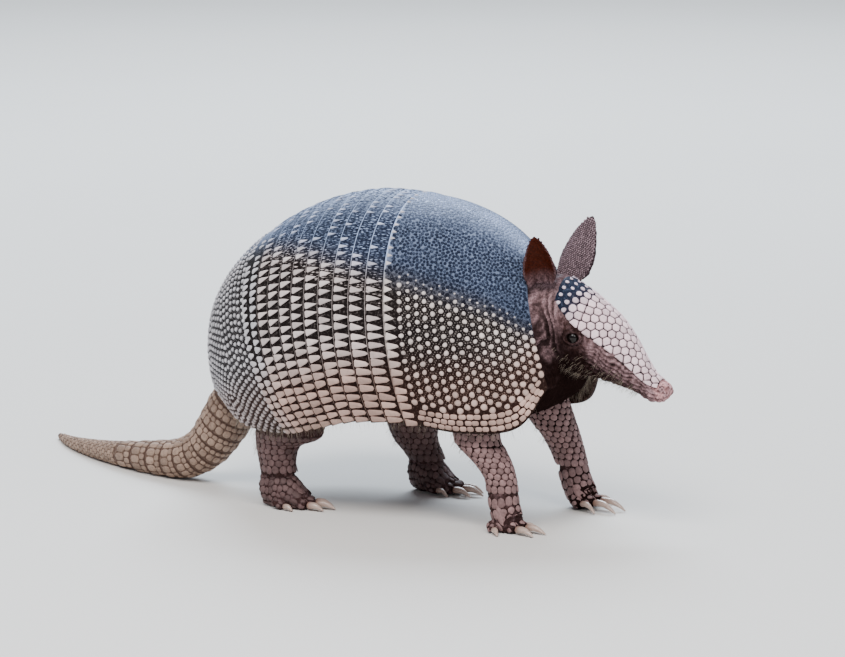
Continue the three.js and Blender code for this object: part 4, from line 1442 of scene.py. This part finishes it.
def folds(p, n):
    """Height of the skin's folds in millimetres: upright pleats on the neck, lids and rings round
    the eyes, nostrils, the line of the mouth, creases along the muzzle and across the legs."""
    x, y, z = p.T
    height = np.zeros(len(p))
    neck = between(x, 98, 131, 8) * between(z, 96, 166, 12) * ease((24 - np.abs(y)) / -14 + 0.9)
    bend = 2.6 * ripple(p, 24, 3)
    height += neck * (1.05 * wave(x + 0.25 * z + bend, 5.2)
                      + 0.4 * wave(x - 0.3 * z + 2 * bend, 3.1))
    for side in (1, -1):
        centre = eye_centre(side)
        apart = (p - centre) * [1, 0.5, 1.35]
        ring = np.linalg.norm(apart, axis=1)
        by_eye = np.exp(-np.maximum(ring - 4.6, 0) / 3.2) * (p[:, 1] * side < 0)
        above = np.clip((z - centre[2]) / 4, -1, 1) * (ring < 9)
        height += 0.7 * near(p, centre, 8.0) * (ring > 3.4) - 2.4 * np.exp(-(ring / 4.5)**8)
        height += (1.3 + 0.6 * above) * np.exp(-((ring - 5.5) / 0.8)**2)
        height -= 0.9 * np.exp(-((ring - 7.1) / 0.8)**2)
        height += 0.6 * by_eye * wave(ring - 5.5, 2.7) * (ring > 7.1)
        height -= 2.6 * near(p, nostril(side), 1.5)
        height += 0.8 * near(p, nostril(side) + [0, 0, 0.5], 3.2)
        line = head(np.linspace(0.42, 0.985, 44), MOUTH_ANGLE * side, 0.0)
        far = np.sqrt(((p[:, None, [0, 2]] - line[None][..., [0, 2]])**2).sum(-1).min(1))
        height -= 1.0 * np.exp(-(far / 0.9)**2) * (y * -side > 0) * (x > 152)
    muzzle = between(x, 146, 199, 10) * ease((134 - z) / 20)
    wander = 2.0 * ripple(p, 13, 5)
    height += muzzle * 0.55 * wave(z + 0.62 * x + wander, 3.3)
    height += muzzle * 0.24 * wave(x - 0.5 * z + wander, 4.4)
    height += ease((70 - z) / 8) * 0.28 * wave(z + 1.6 * ripple(p, 12, 7), 3.4)
    belly = between(x, -110, 110, 10) * ease((-n[:, 2] - 0.3) / 0.4) * ease((z - 45) / 8)
    height += belly * 0.5 * wave(x + 4 * ripple(p, 30, 11), 8)
    return height + 0.22 * ripple(p, 5, 13)


def ear_sides(p):
    """1 on the hollow side of an ear, and 1 on its back, by the side of the nearest point of the
    ear's middle surface."""
    inside, behind = np.zeros(len(p)), np.zeros(len(p))
    for spec in EARS.values():
        base, tip, _, width = (np.array(a, float) for a in spec)
        axis = unit(tip - base)
        s = (p - base) @ axis / np.linalg.norm(tip - base)
        off = p - base - axis * ((p - base) @ axis)[:, None]
        index = np.nonzero((np.linalg.norm(off, axis=1) < width * 0.8) & (s > 0.03))[0]
        along, across = grid(24, 24)
        middle = ear(spec, along, across).reshape(-1, 3)
        face = ear(spec, along, across, 1.0).reshape(-1, 3) - middle
        apart = ((p[index, None] - middle[None])**2).sum(-1)
        nearest = apart.argmin(1)
        side = np.einsum("ij,ij->i", p[index] - middle[nearest], face[nearest])
        on_ear = (np.sqrt(apart.min(1)) < 2.4) * ease(s[index] / 0.12)
        rim = ease((np.abs(across[0])[nearest % 24] - 0.86) / 0.1)
        deep = 1 - 0.55 * ease((0.4 - s[index]) / 0.35)
        inside[index] = np.maximum(inside[index], on_ear * (side > 0) * (1 - 0.6 * rim) * deep)
        behind[index] = np.maximum(behind[index], on_ear * np.where(side > 0, 0.6 * rim, 1.0))
    return inside, behind


def skin_marks(p, height):
    """Masks of the skin's colours: pink, dark, the ears' insides, and their backs with the nape.
    Hollows of the folds on neck and face are darkened as painted shade, and their ridges are made
    pinker and lighter, partly the skin's own pink and partly a painted highlight."""
    x, _, z = p.T
    face = ease((x - 98) / 8)
    # Painted shade darkens the folds' hollows; their ridges are lightened, partly pink skin and
    # partly a painted highlight.
    hollow, ridge_highlight = np.clip(-height * 1.1, 0, 1) * face, np.clip(height * 0.9, 0, 1) * face
    neck = between(x, 98, 134, 8) * ease((z - 106) / 14)
    pink = neck * (0.42 + 0.5 * ridge_highlight)
    side = between(x, 150, 197, 10) * ease((z - (262 - x)) / 10 + 0.5)
    pink = np.maximum(pink, side * (0.3 + 0.7 * ridge_highlight))
    tip = ease((x - 184) / 12) * ease((z - 84) / 5)
    pink = np.maximum(pink, tip * (1.5 + 0.4 * ripple(p, 5, 23)))
    speck = ease((ripple(p, 2.4, 19) - 0.2) / 0.4) * ease((x - 183) / 8)
    dark = between(x, 116, 196, 10) * ease(((255 - x * 0.86) - z) / 14) * 0.9
    dark = np.maximum(dark, between(x, 84, 132, 8) * ease((118 - z) / 16) * ease((z - 50) / 8))
    dark = np.maximum(dark * (1 - 0.35 * ridge_highlight), hollow * 0.85)
    dark = np.maximum(dark * (1 - 0.75 * tip), 0.8 * speck)
    for way in (1, -1):
        dark = np.maximum(dark, 0.93 * near(p, eye_centre(way), 6.5) * (1 - 0.3 * ridge_highlight))
        # The nostrils and the front of the mouth's line are painted nearly black: painted shade of
        # their openings.
        dark = np.maximum(dark, 0.98 * near(p, nostril(way), 1.9))
        mouth = head(np.linspace(0.8, 1, 12), MOUTH_ANGLE * way, 0.0)
        far = ((p[:, None] - mouth[None])**2).sum(-1).min(1)
        dark = np.maximum(dark, 0.9 * np.exp(-far / 2.2))
    inside, behind = ear_sides(p)
    nape = between(x, 100, 127, 8) * ease((z - 155) / 8) * (1 - inside)
    return np.column_stack([pink, dark, inside, np.maximum(behind, 0.85 * nape)])


class ARMADILLO_OT_skin(Maker, bpy.types.Operator):
    """Skin: one surface over trunk, neck, head, ears, legs and feet, with folds and creases"""

    bl_idname = "armadillo.skin"
    bl_label = "Skin"

    def execute(self, context):
        look = skin_look()
        material = skin_material(look)
        rough = build("skin_rough", *joined(flesh()), material, "skin")
        voxels = rough.modifiers.new("Whole", "REMESH")
        voxels.mode = "VOXEL"
        voxels.voxel_size = look.grain
        whole = bpy.data.objects.new("skin_whole", baked(rough))
        bpy.context.scene.collection.objects.link(whole)
        bpy.data.objects.remove(rough)
        places = in_millimetres(whole.data)
        under = whole.vertex_groups.new(name="hidden")
        unseen = hidden_share(places) > 0.5
        plain = ~unseen & (places[:, 0] < PLAIN_BEHIND)
        for chosen, weight in ((unseen, 1.0), (plain, PLAIN_WEIGHT)):
            under.add(np.nonzero(chosen)[0].tolist(), weight, "REPLACE")
        thin = whole.modifiers.new("Thin where hidden", "DECIMATE")
        thin.vertex_group = "hidden"
        thin.ratio = KEPT_SHARE
        mesh = baked(whole)
        bpy.data.objects.remove(whole)
        mesh.name = "skin"
        places = in_millimetres(mesh)
        edges = np.zeros(len(mesh.edges) * 2, np.int32)
        mesh.edges.foreach_get("vertices", edges)
        a, b = edges.reshape(-1, 2).T
        joins = np.concatenate([a, b]), np.concatenate([b, a])
        places = relaxed(places, *joins, share=0.55, rounds=5)
        places = relaxed(places, *joins, share=0.6 * ankle_share(places)[:, None], rounds=24)
        mesh.vertices.foreach_set("co", places.astype(np.float32).ravel())
        mesh.update()
        normals = vectors(mesh.vertex_normals, "vector")
        height = folds(places, normals)
        places += normals * (height - 0.1)[:, None]
        places[:, 2] = np.maximum(places[:, 2], 0.0)
        mesh.vertices.foreach_set("co", in_metres(places))
        set_marks(mesh, skin_marks(places, height))
        mesh.update()
        place_piece("skin", mesh, material, ["trunk", "neck", "head", *EARS, *LEGS, *FEET])
        return {"FINISHED"}


class ARMADILLO_OT_eyes(Maker, bpy.types.Operator):
    """Eyes: two wet black balls set in their lids"""

    bl_idname = "armadillo.eyes"
    bl_label = "Eyes"

    def execute(self, context):
        material = mottled_material("Eye", 0.09, 0.3, 0.002, EYE_DARK, EYE_BROWN)
        turn, rise = turns(40), np.linspace(0.02, math.pi - 0.02, 24)[:, None]
        ball = np.stack([np.sin(rise) * np.cos(turn), np.cos(rise) + 0 * turn,
                         np.sin(rise) * np.sin(turn)], -1)
        for side, name in ((1, "right"), (-1, "left")):
            points, faces = tube(ball * EYE_RADIUS + eye_centre(side))
            build(f"eyeball_{name}", points, faces, material, "eye", [f"eye_{name}"])
        return {"FINISHED"}


# ---- legs, feet and tail


ROW_FILL = 0.94              # share of its cell that a scale of a leg or of the tail fills
ROW_WIDER = 1.2              # a scale's width over the gap between the legs' rows
PALE_TOES = (-0.1, 1)        # tones of the scales on the fore legs
DARK_TOES = (-0.85, -0.35)   # tones of the scales on the hind legs


def oblong(along, across, sides=12, power=3.2):
    """Outline of a rounded oblong: the inverse of the powered sum of its two half widths."""
    a = turns(sides)
    along, across = np.asarray(along)[:, None], np.asarray(across)[:, None]
    return (np.abs(np.cos(a) / along)**power + np.abs(np.sin(a) / across)**power)**(-1 / power)


def ringed_scales(surface, stations, pitch, rng):
    """Rows of scales round a member: at each station they share out its girth evenly, each row
    half a scale on from the last and a little astray, and each fills its cell. Gives their places
    and outlines."""
    places = []
    turn = np.linspace(0, 2 * math.pi, 49)
    gaps = np.gradient(stations)
    for i, t in enumerate(stations):
        far = lengths(surface(np.full(49, t), turn, 0.0))
        count = max(int(round(far[-1] / pitch)), 5)
        place = (np.arange(count) + 0.5 * (i % 2) + rng.uniform(-0.12, 0.12, count)) / count % 1
        v = np.interp(place * far[-1], far, turn)
        places.append(np.column_stack([t + gaps[i] * rng.uniform(-0.1, 0.1, count), v]))
    q = np.concatenate(places)
    return q, evened(cells(surface, q, 12, pitch * CELL_REACH) * ROW_FILL)


def even_stations(surface, low, high, pitch):
    """Stations a pitch apart along a member's top line."""
    t = np.linspace(low, high, 200)
    far = lengths(surface(t, np.full(200, math.pi / 2), 0.0))
    count = max(int(far[-1] / pitch), 2)
    return np.interp((np.arange(count) + 0.5) / count * far[-1], far, t)


def scale_set(name, sets, material, slot, tones, keep=None):
    """One piece from several members' scales: (surface, places, outlines, height) each. The
    members lie on the coat's map as strips side by side."""
    points, faces, marks, uv, first = [], [], [], [], 0
    rng = np.random.default_rng(len(sets))
    for number, (surface, q, radius, height) in enumerate(sets):
        some, theirs, rise, each, local = domes(surface, q, radius, height)
        roots = some.reshape(len(q), each, 3)[:, -2]
        held = np.ones(len(q), bool) if keep is None else keep(roots)
        used = np.repeat(held, each)
        renumber = np.cumsum(used) - 1
        faces += [renumber[f[used[f].all(1)]] + first for f in theirs]
        tone = rng.uniform(*tones, len(q))
        along, across = ((x - x.min()) / max(np.ptp(x), 1e-6) for x in q.T)
        strip = np.column_stack([along, (number + across * 0.9) / len(sets)])
        points.append(some[used])
        marks.append(scale_marks(0 * tone, 0 * tone, tone, rise, each)[used])
        uv.append(patches(strip, np.zeros(2), [1, 1], each, local)[used])
        first += int(used.sum())
    points, marks, uv = (np.concatenate(x) for x in (points, marks, uv))
    build(name, points, faces, material, slot, (), marks, uv)


class ARMADILLO_OT_leg_scales(Maker, bpy.types.Operator):
    """Scales of legs and feet: rows round each leg, larger ones on palms and toes"""

    bl_idname = "armadillo.leg_scales"
    bl_label = "Leg scales"

    def execute(self, context):
        look = skin_look()
        material = scale_material("Leg scale", look.leg_scale, look.leg)
        pitch = look.leg_pitch / MM
        for name, foot in FEET.items():
            fore = foot[0].startswith("fore")
            members = [(partial(leg, LEGS[foot[0]]), 0.12, 0.98 if fore else 0.94, pitch, 0.35),
                       (partial(limb, palm_path(foot)), 0.1, 0.95, pitch * 1.1, 0.45)]
            members += [(partial(limb, toe_paths(foot, toe)[0]), 0.1, 0.98, pitch * 0.95, 0.5)
                        for toe in foot[4]]
            sets = []
            rng = np.random.default_rng(len(name))
            for surface, low, high, size, height in members:
                stations = even_stations(surface, low, high, size)
                sets.append((surface, *ringed_scales(surface, stations, size * ROW_WIDER, rng),
                             height))
            top = 76 if fore else 50
            scale_set(f"scales_{foot[0]}", sets, material, "leg", PALE_TOES if fore else DARK_TOES,
                      lambda p: (p[:, 2] > 1.2) & (p[:, 2] < top))
        return {"FINISHED"}


class ARMADILLO_OT_ear_scales(Maker, bpy.types.Operator):
    """Tiny close scales over the backs of both ears"""

    bl_idname = "armadillo.ear_scales"
    bl_label = "Ear scales"

    def execute(self, context):
        look = skin_look()
        pitch = look.ear_pitch / MM
        low, high = np.array([0.05, -0.79]), np.array([0.945, 0.79])
        sets = []
        for spec in EARS.values():
            def behind(s, t, out=0.0, spec=spec):
                return ear(spec, s, t, -0.78 - np.asarray(out))

            q = spread(behind, rows_of(behind, low, high, pitch), low, high, pitch, 6)
            sets.append((behind, q, evened(cells(behind, q, 8, pitch * 0.7) * 0.84), 0.3))
        material = scale_material("Ear scale", look.ear_scale, look.ear_behind)
        scale_set("scales_ears", sets, material, "ear", (-0.5, 0.9))
        return {"FINISHED"}


class ARMADILLO_OT_claws(Maker, bpy.types.Operator):
    """Claws: curved horns, one to each toe"""

    bl_idname = "armadillo.claws"
    bl_label = "Claws"

    def execute(self, context):
        look = skin_look()
        material, tree, shader, place = new_material("Claw horn", 0.3)
        shader.inputs["Coat Weight"].default_value = 0.3
        streak = mottled(tree, place, 0.0022, 0.0, 0.55)
        marks = add_node(tree, "ShaderNodeAttribute", attribute_name="marks")
        root = mix(tree, marks.outputs["Alpha"], colour(look.claw), colour(CLAW_ROOT))
        tree.links.new(mix(tree, streak, root, colour(CLAW_STREAK)), shader.inputs["Base Color"])
        set_bump(tree, shader, streak, strength=0.3, distance=0.2)
        t = np.linspace(0, 1, 22)
        alpha = np.append(np.repeat(ease(1 - t / 0.35), 20), [1, 0])
        mark = np.column_stack([alpha * 0, alpha * 0, alpha * 0, alpha])
        for name, foot in FEET.items():
            parts, nodes = [], []
            for number, toe in enumerate(foot[4]):
                rings = limb(toe_paths(foot, toe)[1], t[:, None], turns(20)[None, :])
                rings[0] = rings[0].mean(0) + (rings[0] - rings[0].mean(0)) * 0.8
                rings[..., 2] = np.maximum(rings[..., 2], 0.05)
                parts.append(tube(rings))
                nodes.append(f"{name.replace('foot', 'claw')}_{number + 1}")
            build(f"claws_{name}", *joined(parts), material, "claw", nodes,
                  np.tile(mark, (len(parts), 1)))
        return {"FINISHED"}


def round_tail(t, v, out=0.0):
    """Tail's outside alone."""
    return tail(t, v, out)[0]


class ARMADILLO_OT_tail(Maker, bpy.types.Operator):
    """Tail: a ringed taper with a row of long scales and a row of short ones on each ring"""

    bl_idname = "armadillo.tail"
    bl_label = "Tail"

    def execute(self, context):
        look = skin_look()
        core = scale_material("Tail skin", look.tail_scale, look.tail_joint, 0.6)
        t, turn = np.linspace(0, 1, 420), turns(48)
        points, faces = tube(round_tail(t[:, None] + 0 * turn, turn + 0 * t[:, None], -0.15))
        place = t / TAIL_RING_END * TAIL_RINGS
        joint = np.where(place < TAIL_RINGS, ease((place - np.floor(place) - 0.1) / 0.1), 1) * 0.3
        alpha = np.append(np.repeat(joint, 48), [0, 0.5])
        marks = np.column_stack([alpha * 0, alpha * 0, alpha * 0 + 0.5, alpha])
        build("tail_core", points, faces, core, "tail", [f"tail_{k}" for k in range(1, 5)], marks)
        ring = TAIL_RING_END / TAIL_RINGS
        e, top = 1e-3, np.zeros(1)
        sets = []
        for k in range(TAIL_RINGS):
            girth = 2 * math.pi * float(tail(np.array([(k + 0.5) * ring]), top)[1][0])
            for middle, length, width, astray in TAIL_ROWS:
                at = (k + middle) * ring
                count = max(int(round(girth / width)), 8)
                v = (np.arange(count) + astray) / count * 2 * math.pi
                along = np.linalg.norm(round_tail(np.array([at + e]), top)
                                       - round_tail(np.array([at - e]), top)) / (2 * e)
                radius = oblong(np.full(count, along * ring * length / 2),
                                np.full(count, girth / count / 2 * 0.93))
                sets.append((round_tail, np.column_stack([np.full(count, at), v]), radius, 0.5))
        stations = even_stations(round_tail, TAIL_RING_END + 0.008, 0.985, TAIL_PITCH)
        q, radius = ringed_scales(round_tail, stations, TAIL_PITCH, np.random.default_rng(2))
        sets.append((round_tail, q, radius, 0.35))
        material = scale_material("Tail scale", look.tail_scale, look.tail_joint)
        scale_set("tail_scales", sets, material, "tail", (0.1, 1), lambda p: p[:, 2] > 0.4)
        return {"FINISHED"}


def bristles(roots, ways, reach):
    """Closed three-sided hairs from their roots. Each runs its reach along its way and bends as
    the square of the share of it, and tapers to its end. Gives points, faces and the points in
    one hair."""
    share = np.array([0, 0.35, 0.7, 1.0])
    thin = np.array([0.08, 0.072, 0.05, 0.01])
    bend = np.cross(ways, [0, 1, 0]) * 0.22
    line = (roots[:, None] + ways[:, None] * (reach[:, None] * share)[..., None]
            + bend[:, None] * (reach[:, None] * share**2)[..., None])
    across = unit(np.cross(ways, [0.3, 0.2, 1]))
    upward = np.cross(across, ways)
    a = turns(3)[:, None]
    ring = across[:, None] * np.cos(a) + upward[:, None] * np.sin(a)
    body = line[:, :, None] + ring[:, None] * thin[:, None, None]
    first = (np.arange(len(roots)) * 12)[:, None, None]
    quads = (grid_faces(4, 3, True)[None] + first).reshape(-1, 4)
    caps = (np.array([[2, 1, 0], [9, 10, 11]])[None] + first).reshape(-1, 3)
    return body.reshape(-1, 3), [quads, caps], 12


class ARMADILLO_OT_hairs(Maker, bpy.types.Operator):
    """Hairs: sparse pale bristles under the shell's rim, on the throat and on the legs"""

    bl_idname = "armadillo.hairs"
    bl_label = "Hairs"

    def execute(self, context):
        material = mottled_material("Hair", 0.5, 0.5, 0.004, HAIR_PALE, HAIR_DARK)
        rng = np.random.default_rng(5)
        length = skin_look().hair / MM
        hairs = []

        def grow(root, x, y, z, shortest, longest):
            """Hairs from roots, near one way, with lengths between two shares of the hair's."""
            way = np.column_stack(np.broadcast_arrays(x, y, z, root[:, 0])[:3])
            hairs.append((root, unit(way + rng.normal(scale=0.2, size=root.shape)),
                          length * rng.uniform(shortest, longest, len(root))))

        n = RIM_HAIRS
        side = rng.choice([-1.0, 1.0], n)
        u, v = rng.uniform(0.03, 0.93, n), side * rng.uniform(0.945, 0.965, n)
        grow(shell(u, v, -TRUNK_DEPTH + 0.2), -0.25, side * 0.12, -0.95, 0.8, 1.9)
        n = FACE_HAIRS
        s, low = rng.uniform(0.0, 0.66, n), rng.uniform(112, 180, n) * rng.choice([-1.0, 1.0], n)
        grow(head(s, low, -0.4), -0.9, -0.16 * np.sin(np.radians(low)), -0.55, 0.3, 0.8)
        n = LEG_HAIRS
        for path in LEGS.values():
            t, turn = rng.uniform(0.12, 0.62, n), math.pi + rng.normal(scale=0.6, size=n)
            grow(leg(path, t, turn, -0.3), 0.7 * np.cos(turn), 0.7 * np.sin(turn), -0.8, 0.3, 0.75)
        points, faces, each = bristles(*(np.concatenate(x) for x in zip(*hairs)))
        count = len(points) // each
        local = [[x / 1.5 - 1, y / 1.5 - 0.7] for y in range(4) for x in range(3)]
        build("hairs", points, faces, material, "skin", (), None,
              patches(rng.uniform(0, 1, (count, 2)), np.zeros(2), [1, 1], each,
                      np.tile(np.array(local) * 0.7, (count, 1))))
        return {"FINISHED"}


# ---- stage

CAMERA_TARGET = [20, 0, 122]
CAMERA_TURN = 27
CAMERA_RISE = 10
CAMERA_DISTANCE = 3.0
CAMERA_LENS = 189.2
FLOOR_HALF = 9.0
FLOOR_DARK = (0.72, 0.70, 0.67)
FLOOR_PALE = (0.76, 0.74, 0.71)
WORLD_TINT = (0.80, 0.84, 0.92)
WORLD_STRENGTH = 0.5
# Lights: name, place, size, power, tint.
LIGHTS = (("key", (0.2, -1.6, 2.6), 1.5, 88, (1.0, 0.98, 0.96)),
          ("fill", (2.2, -1.4, 2.2), 1.2, 42, (1.0, 0.97, 0.95)),
          ("sky", (-1.0, 2.2, 2.5), 2.2, 190, (0.78, 0.89, 1.0)))


def aimed(name, data, spot, way):
    """Puts a light or the camera at a spot, facing one way."""
    one = bpy.data.objects.new(name, data)
    one.location = spot
    one.rotation_euler = way.to_track_quat("-Z", "Y").to_euler()
    bpy.context.scene.collection.objects.link(one)
    return one


class ARMADILLO_OT_stage(Maker, bpy.types.Operator):
    """Stage: a pale floor, soft lights and the camera"""

    bl_idname = "armadillo.stage"
    bl_label = "Stage"

    def execute(self, context):
        scene = context.scene
        mesh = bpy.data.meshes.new("floor")
        half = FLOOR_HALF
        mesh.from_pydata([(-half, -half, 0), (half, -half, 0), (half, half, 0), (-half, half, 0)],
                         [], [(0, 1, 2, 3)])
        mesh.materials.append(mottled_material("Floor", 0.85, 0.5, 1.5, FLOOR_DARK, FLOOR_PALE))
        floor = bpy.data.objects.new("floor", mesh)
        scene.collection.objects.link(floor)
        scene.world = bpy.data.worlds.new("Studio")
        scene.world.use_nodes = True
        sky = scene.world.node_tree.nodes["Background"].inputs
        sky["Color"].default_value = colour(WORLD_TINT)
        sky["Strength"].default_value = WORLD_STRENGTH
        target = Vector((CAMERA_TARGET[0] * MM + SHIFT, 0, CAMERA_TARGET[2] * MM))
        for name, spot, size, power, tint in LIGHTS:
            data = bpy.data.lights.new(name, "AREA")
            data.shape = "SQUARE"
            data.size = size
            data.energy = power
            data.color = tint
            aimed(name, data, Vector(spot), target - Vector(spot))
        turn, rise = math.radians(CAMERA_TURN), math.radians(CAMERA_RISE)
        back = Vector((math.sin(turn) * math.cos(rise), -math.cos(turn) * math.cos(rise),
                       math.sin(rise)))
        data = bpy.data.cameras.new("camera")
        data.lens = CAMERA_LENS
        data.sensor_width = 36.0
        data.clip_end = 100
        scene.camera = aimed("camera", data, target + back * CAMERA_DISTANCE, -back)
        return {"FINISHED"}


PIECES = (ARMADILLO_OT_shoulder, ARMADILLO_OT_bands, ARMADILLO_OT_rump, ARMADILLO_OT_head_shield,
          ARMADILLO_OT_skin, ARMADILLO_OT_eyes, ARMADILLO_OT_leg_scales, ARMADILLO_OT_ear_scales,
          ARMADILLO_OT_claws, ARMADILLO_OT_tail, ARMADILLO_OT_hairs, ARMADILLO_OT_stage)


class ARMADILLO_PT_panel(bpy.types.Panel):
    """Lists the pieces and their settings in the sidebar"""

    bl_label = "Armadillo"
    bl_space_type = "VIEW_3D"
    bl_region_type = "UI"
    bl_category = "Armadillo"

    def draw(self, context):
        for piece in PIECES:
            self.layout.operator(piece.bl_idname)
        for settings in (context.scene.armadillo_shell, context.scene.armadillo_skin):
            for key in settings.__annotations__:
                self.layout.prop(settings, key)


CLASSES = (ShellSettings, SkinSettings, *PIECES, ARMADILLO_PT_panel)


def register():
    """Adds the classes and the scene's settings."""
    for one in CLASSES:
        bpy.utils.register_class(one)
    bpy.types.Scene.armadillo_shell = bpy.props.PointerProperty(type=ShellSettings)
    bpy.types.Scene.armadillo_skin = bpy.props.PointerProperty(type=SkinSettings)


def unregister():
    """Takes the scene's settings and the classes away."""
    del bpy.types.Scene.armadillo_skin
    del bpy.types.Scene.armadillo_shell
    for one in reversed(CLASSES):
        bpy.utils.unregister_class(one)


def main():
    """Makes every piece and the stage."""
    register()
    bpy.ops.armadillo.shoulder()
    bpy.ops.armadillo.bands()
    bpy.ops.armadillo.rump()
    bpy.ops.armadillo.head_shield()
    bpy.ops.armadillo.skin()
    bpy.ops.armadillo.eyes()
    bpy.ops.armadillo.leg_scales()
    bpy.ops.armadillo.ear_scales()
    bpy.ops.armadillo.claws()
    bpy.ops.armadillo.tail()
    bpy.ops.armadillo.hairs()
    bpy.ops.armadillo.stage()


if __name__ == "__main__":
    main()
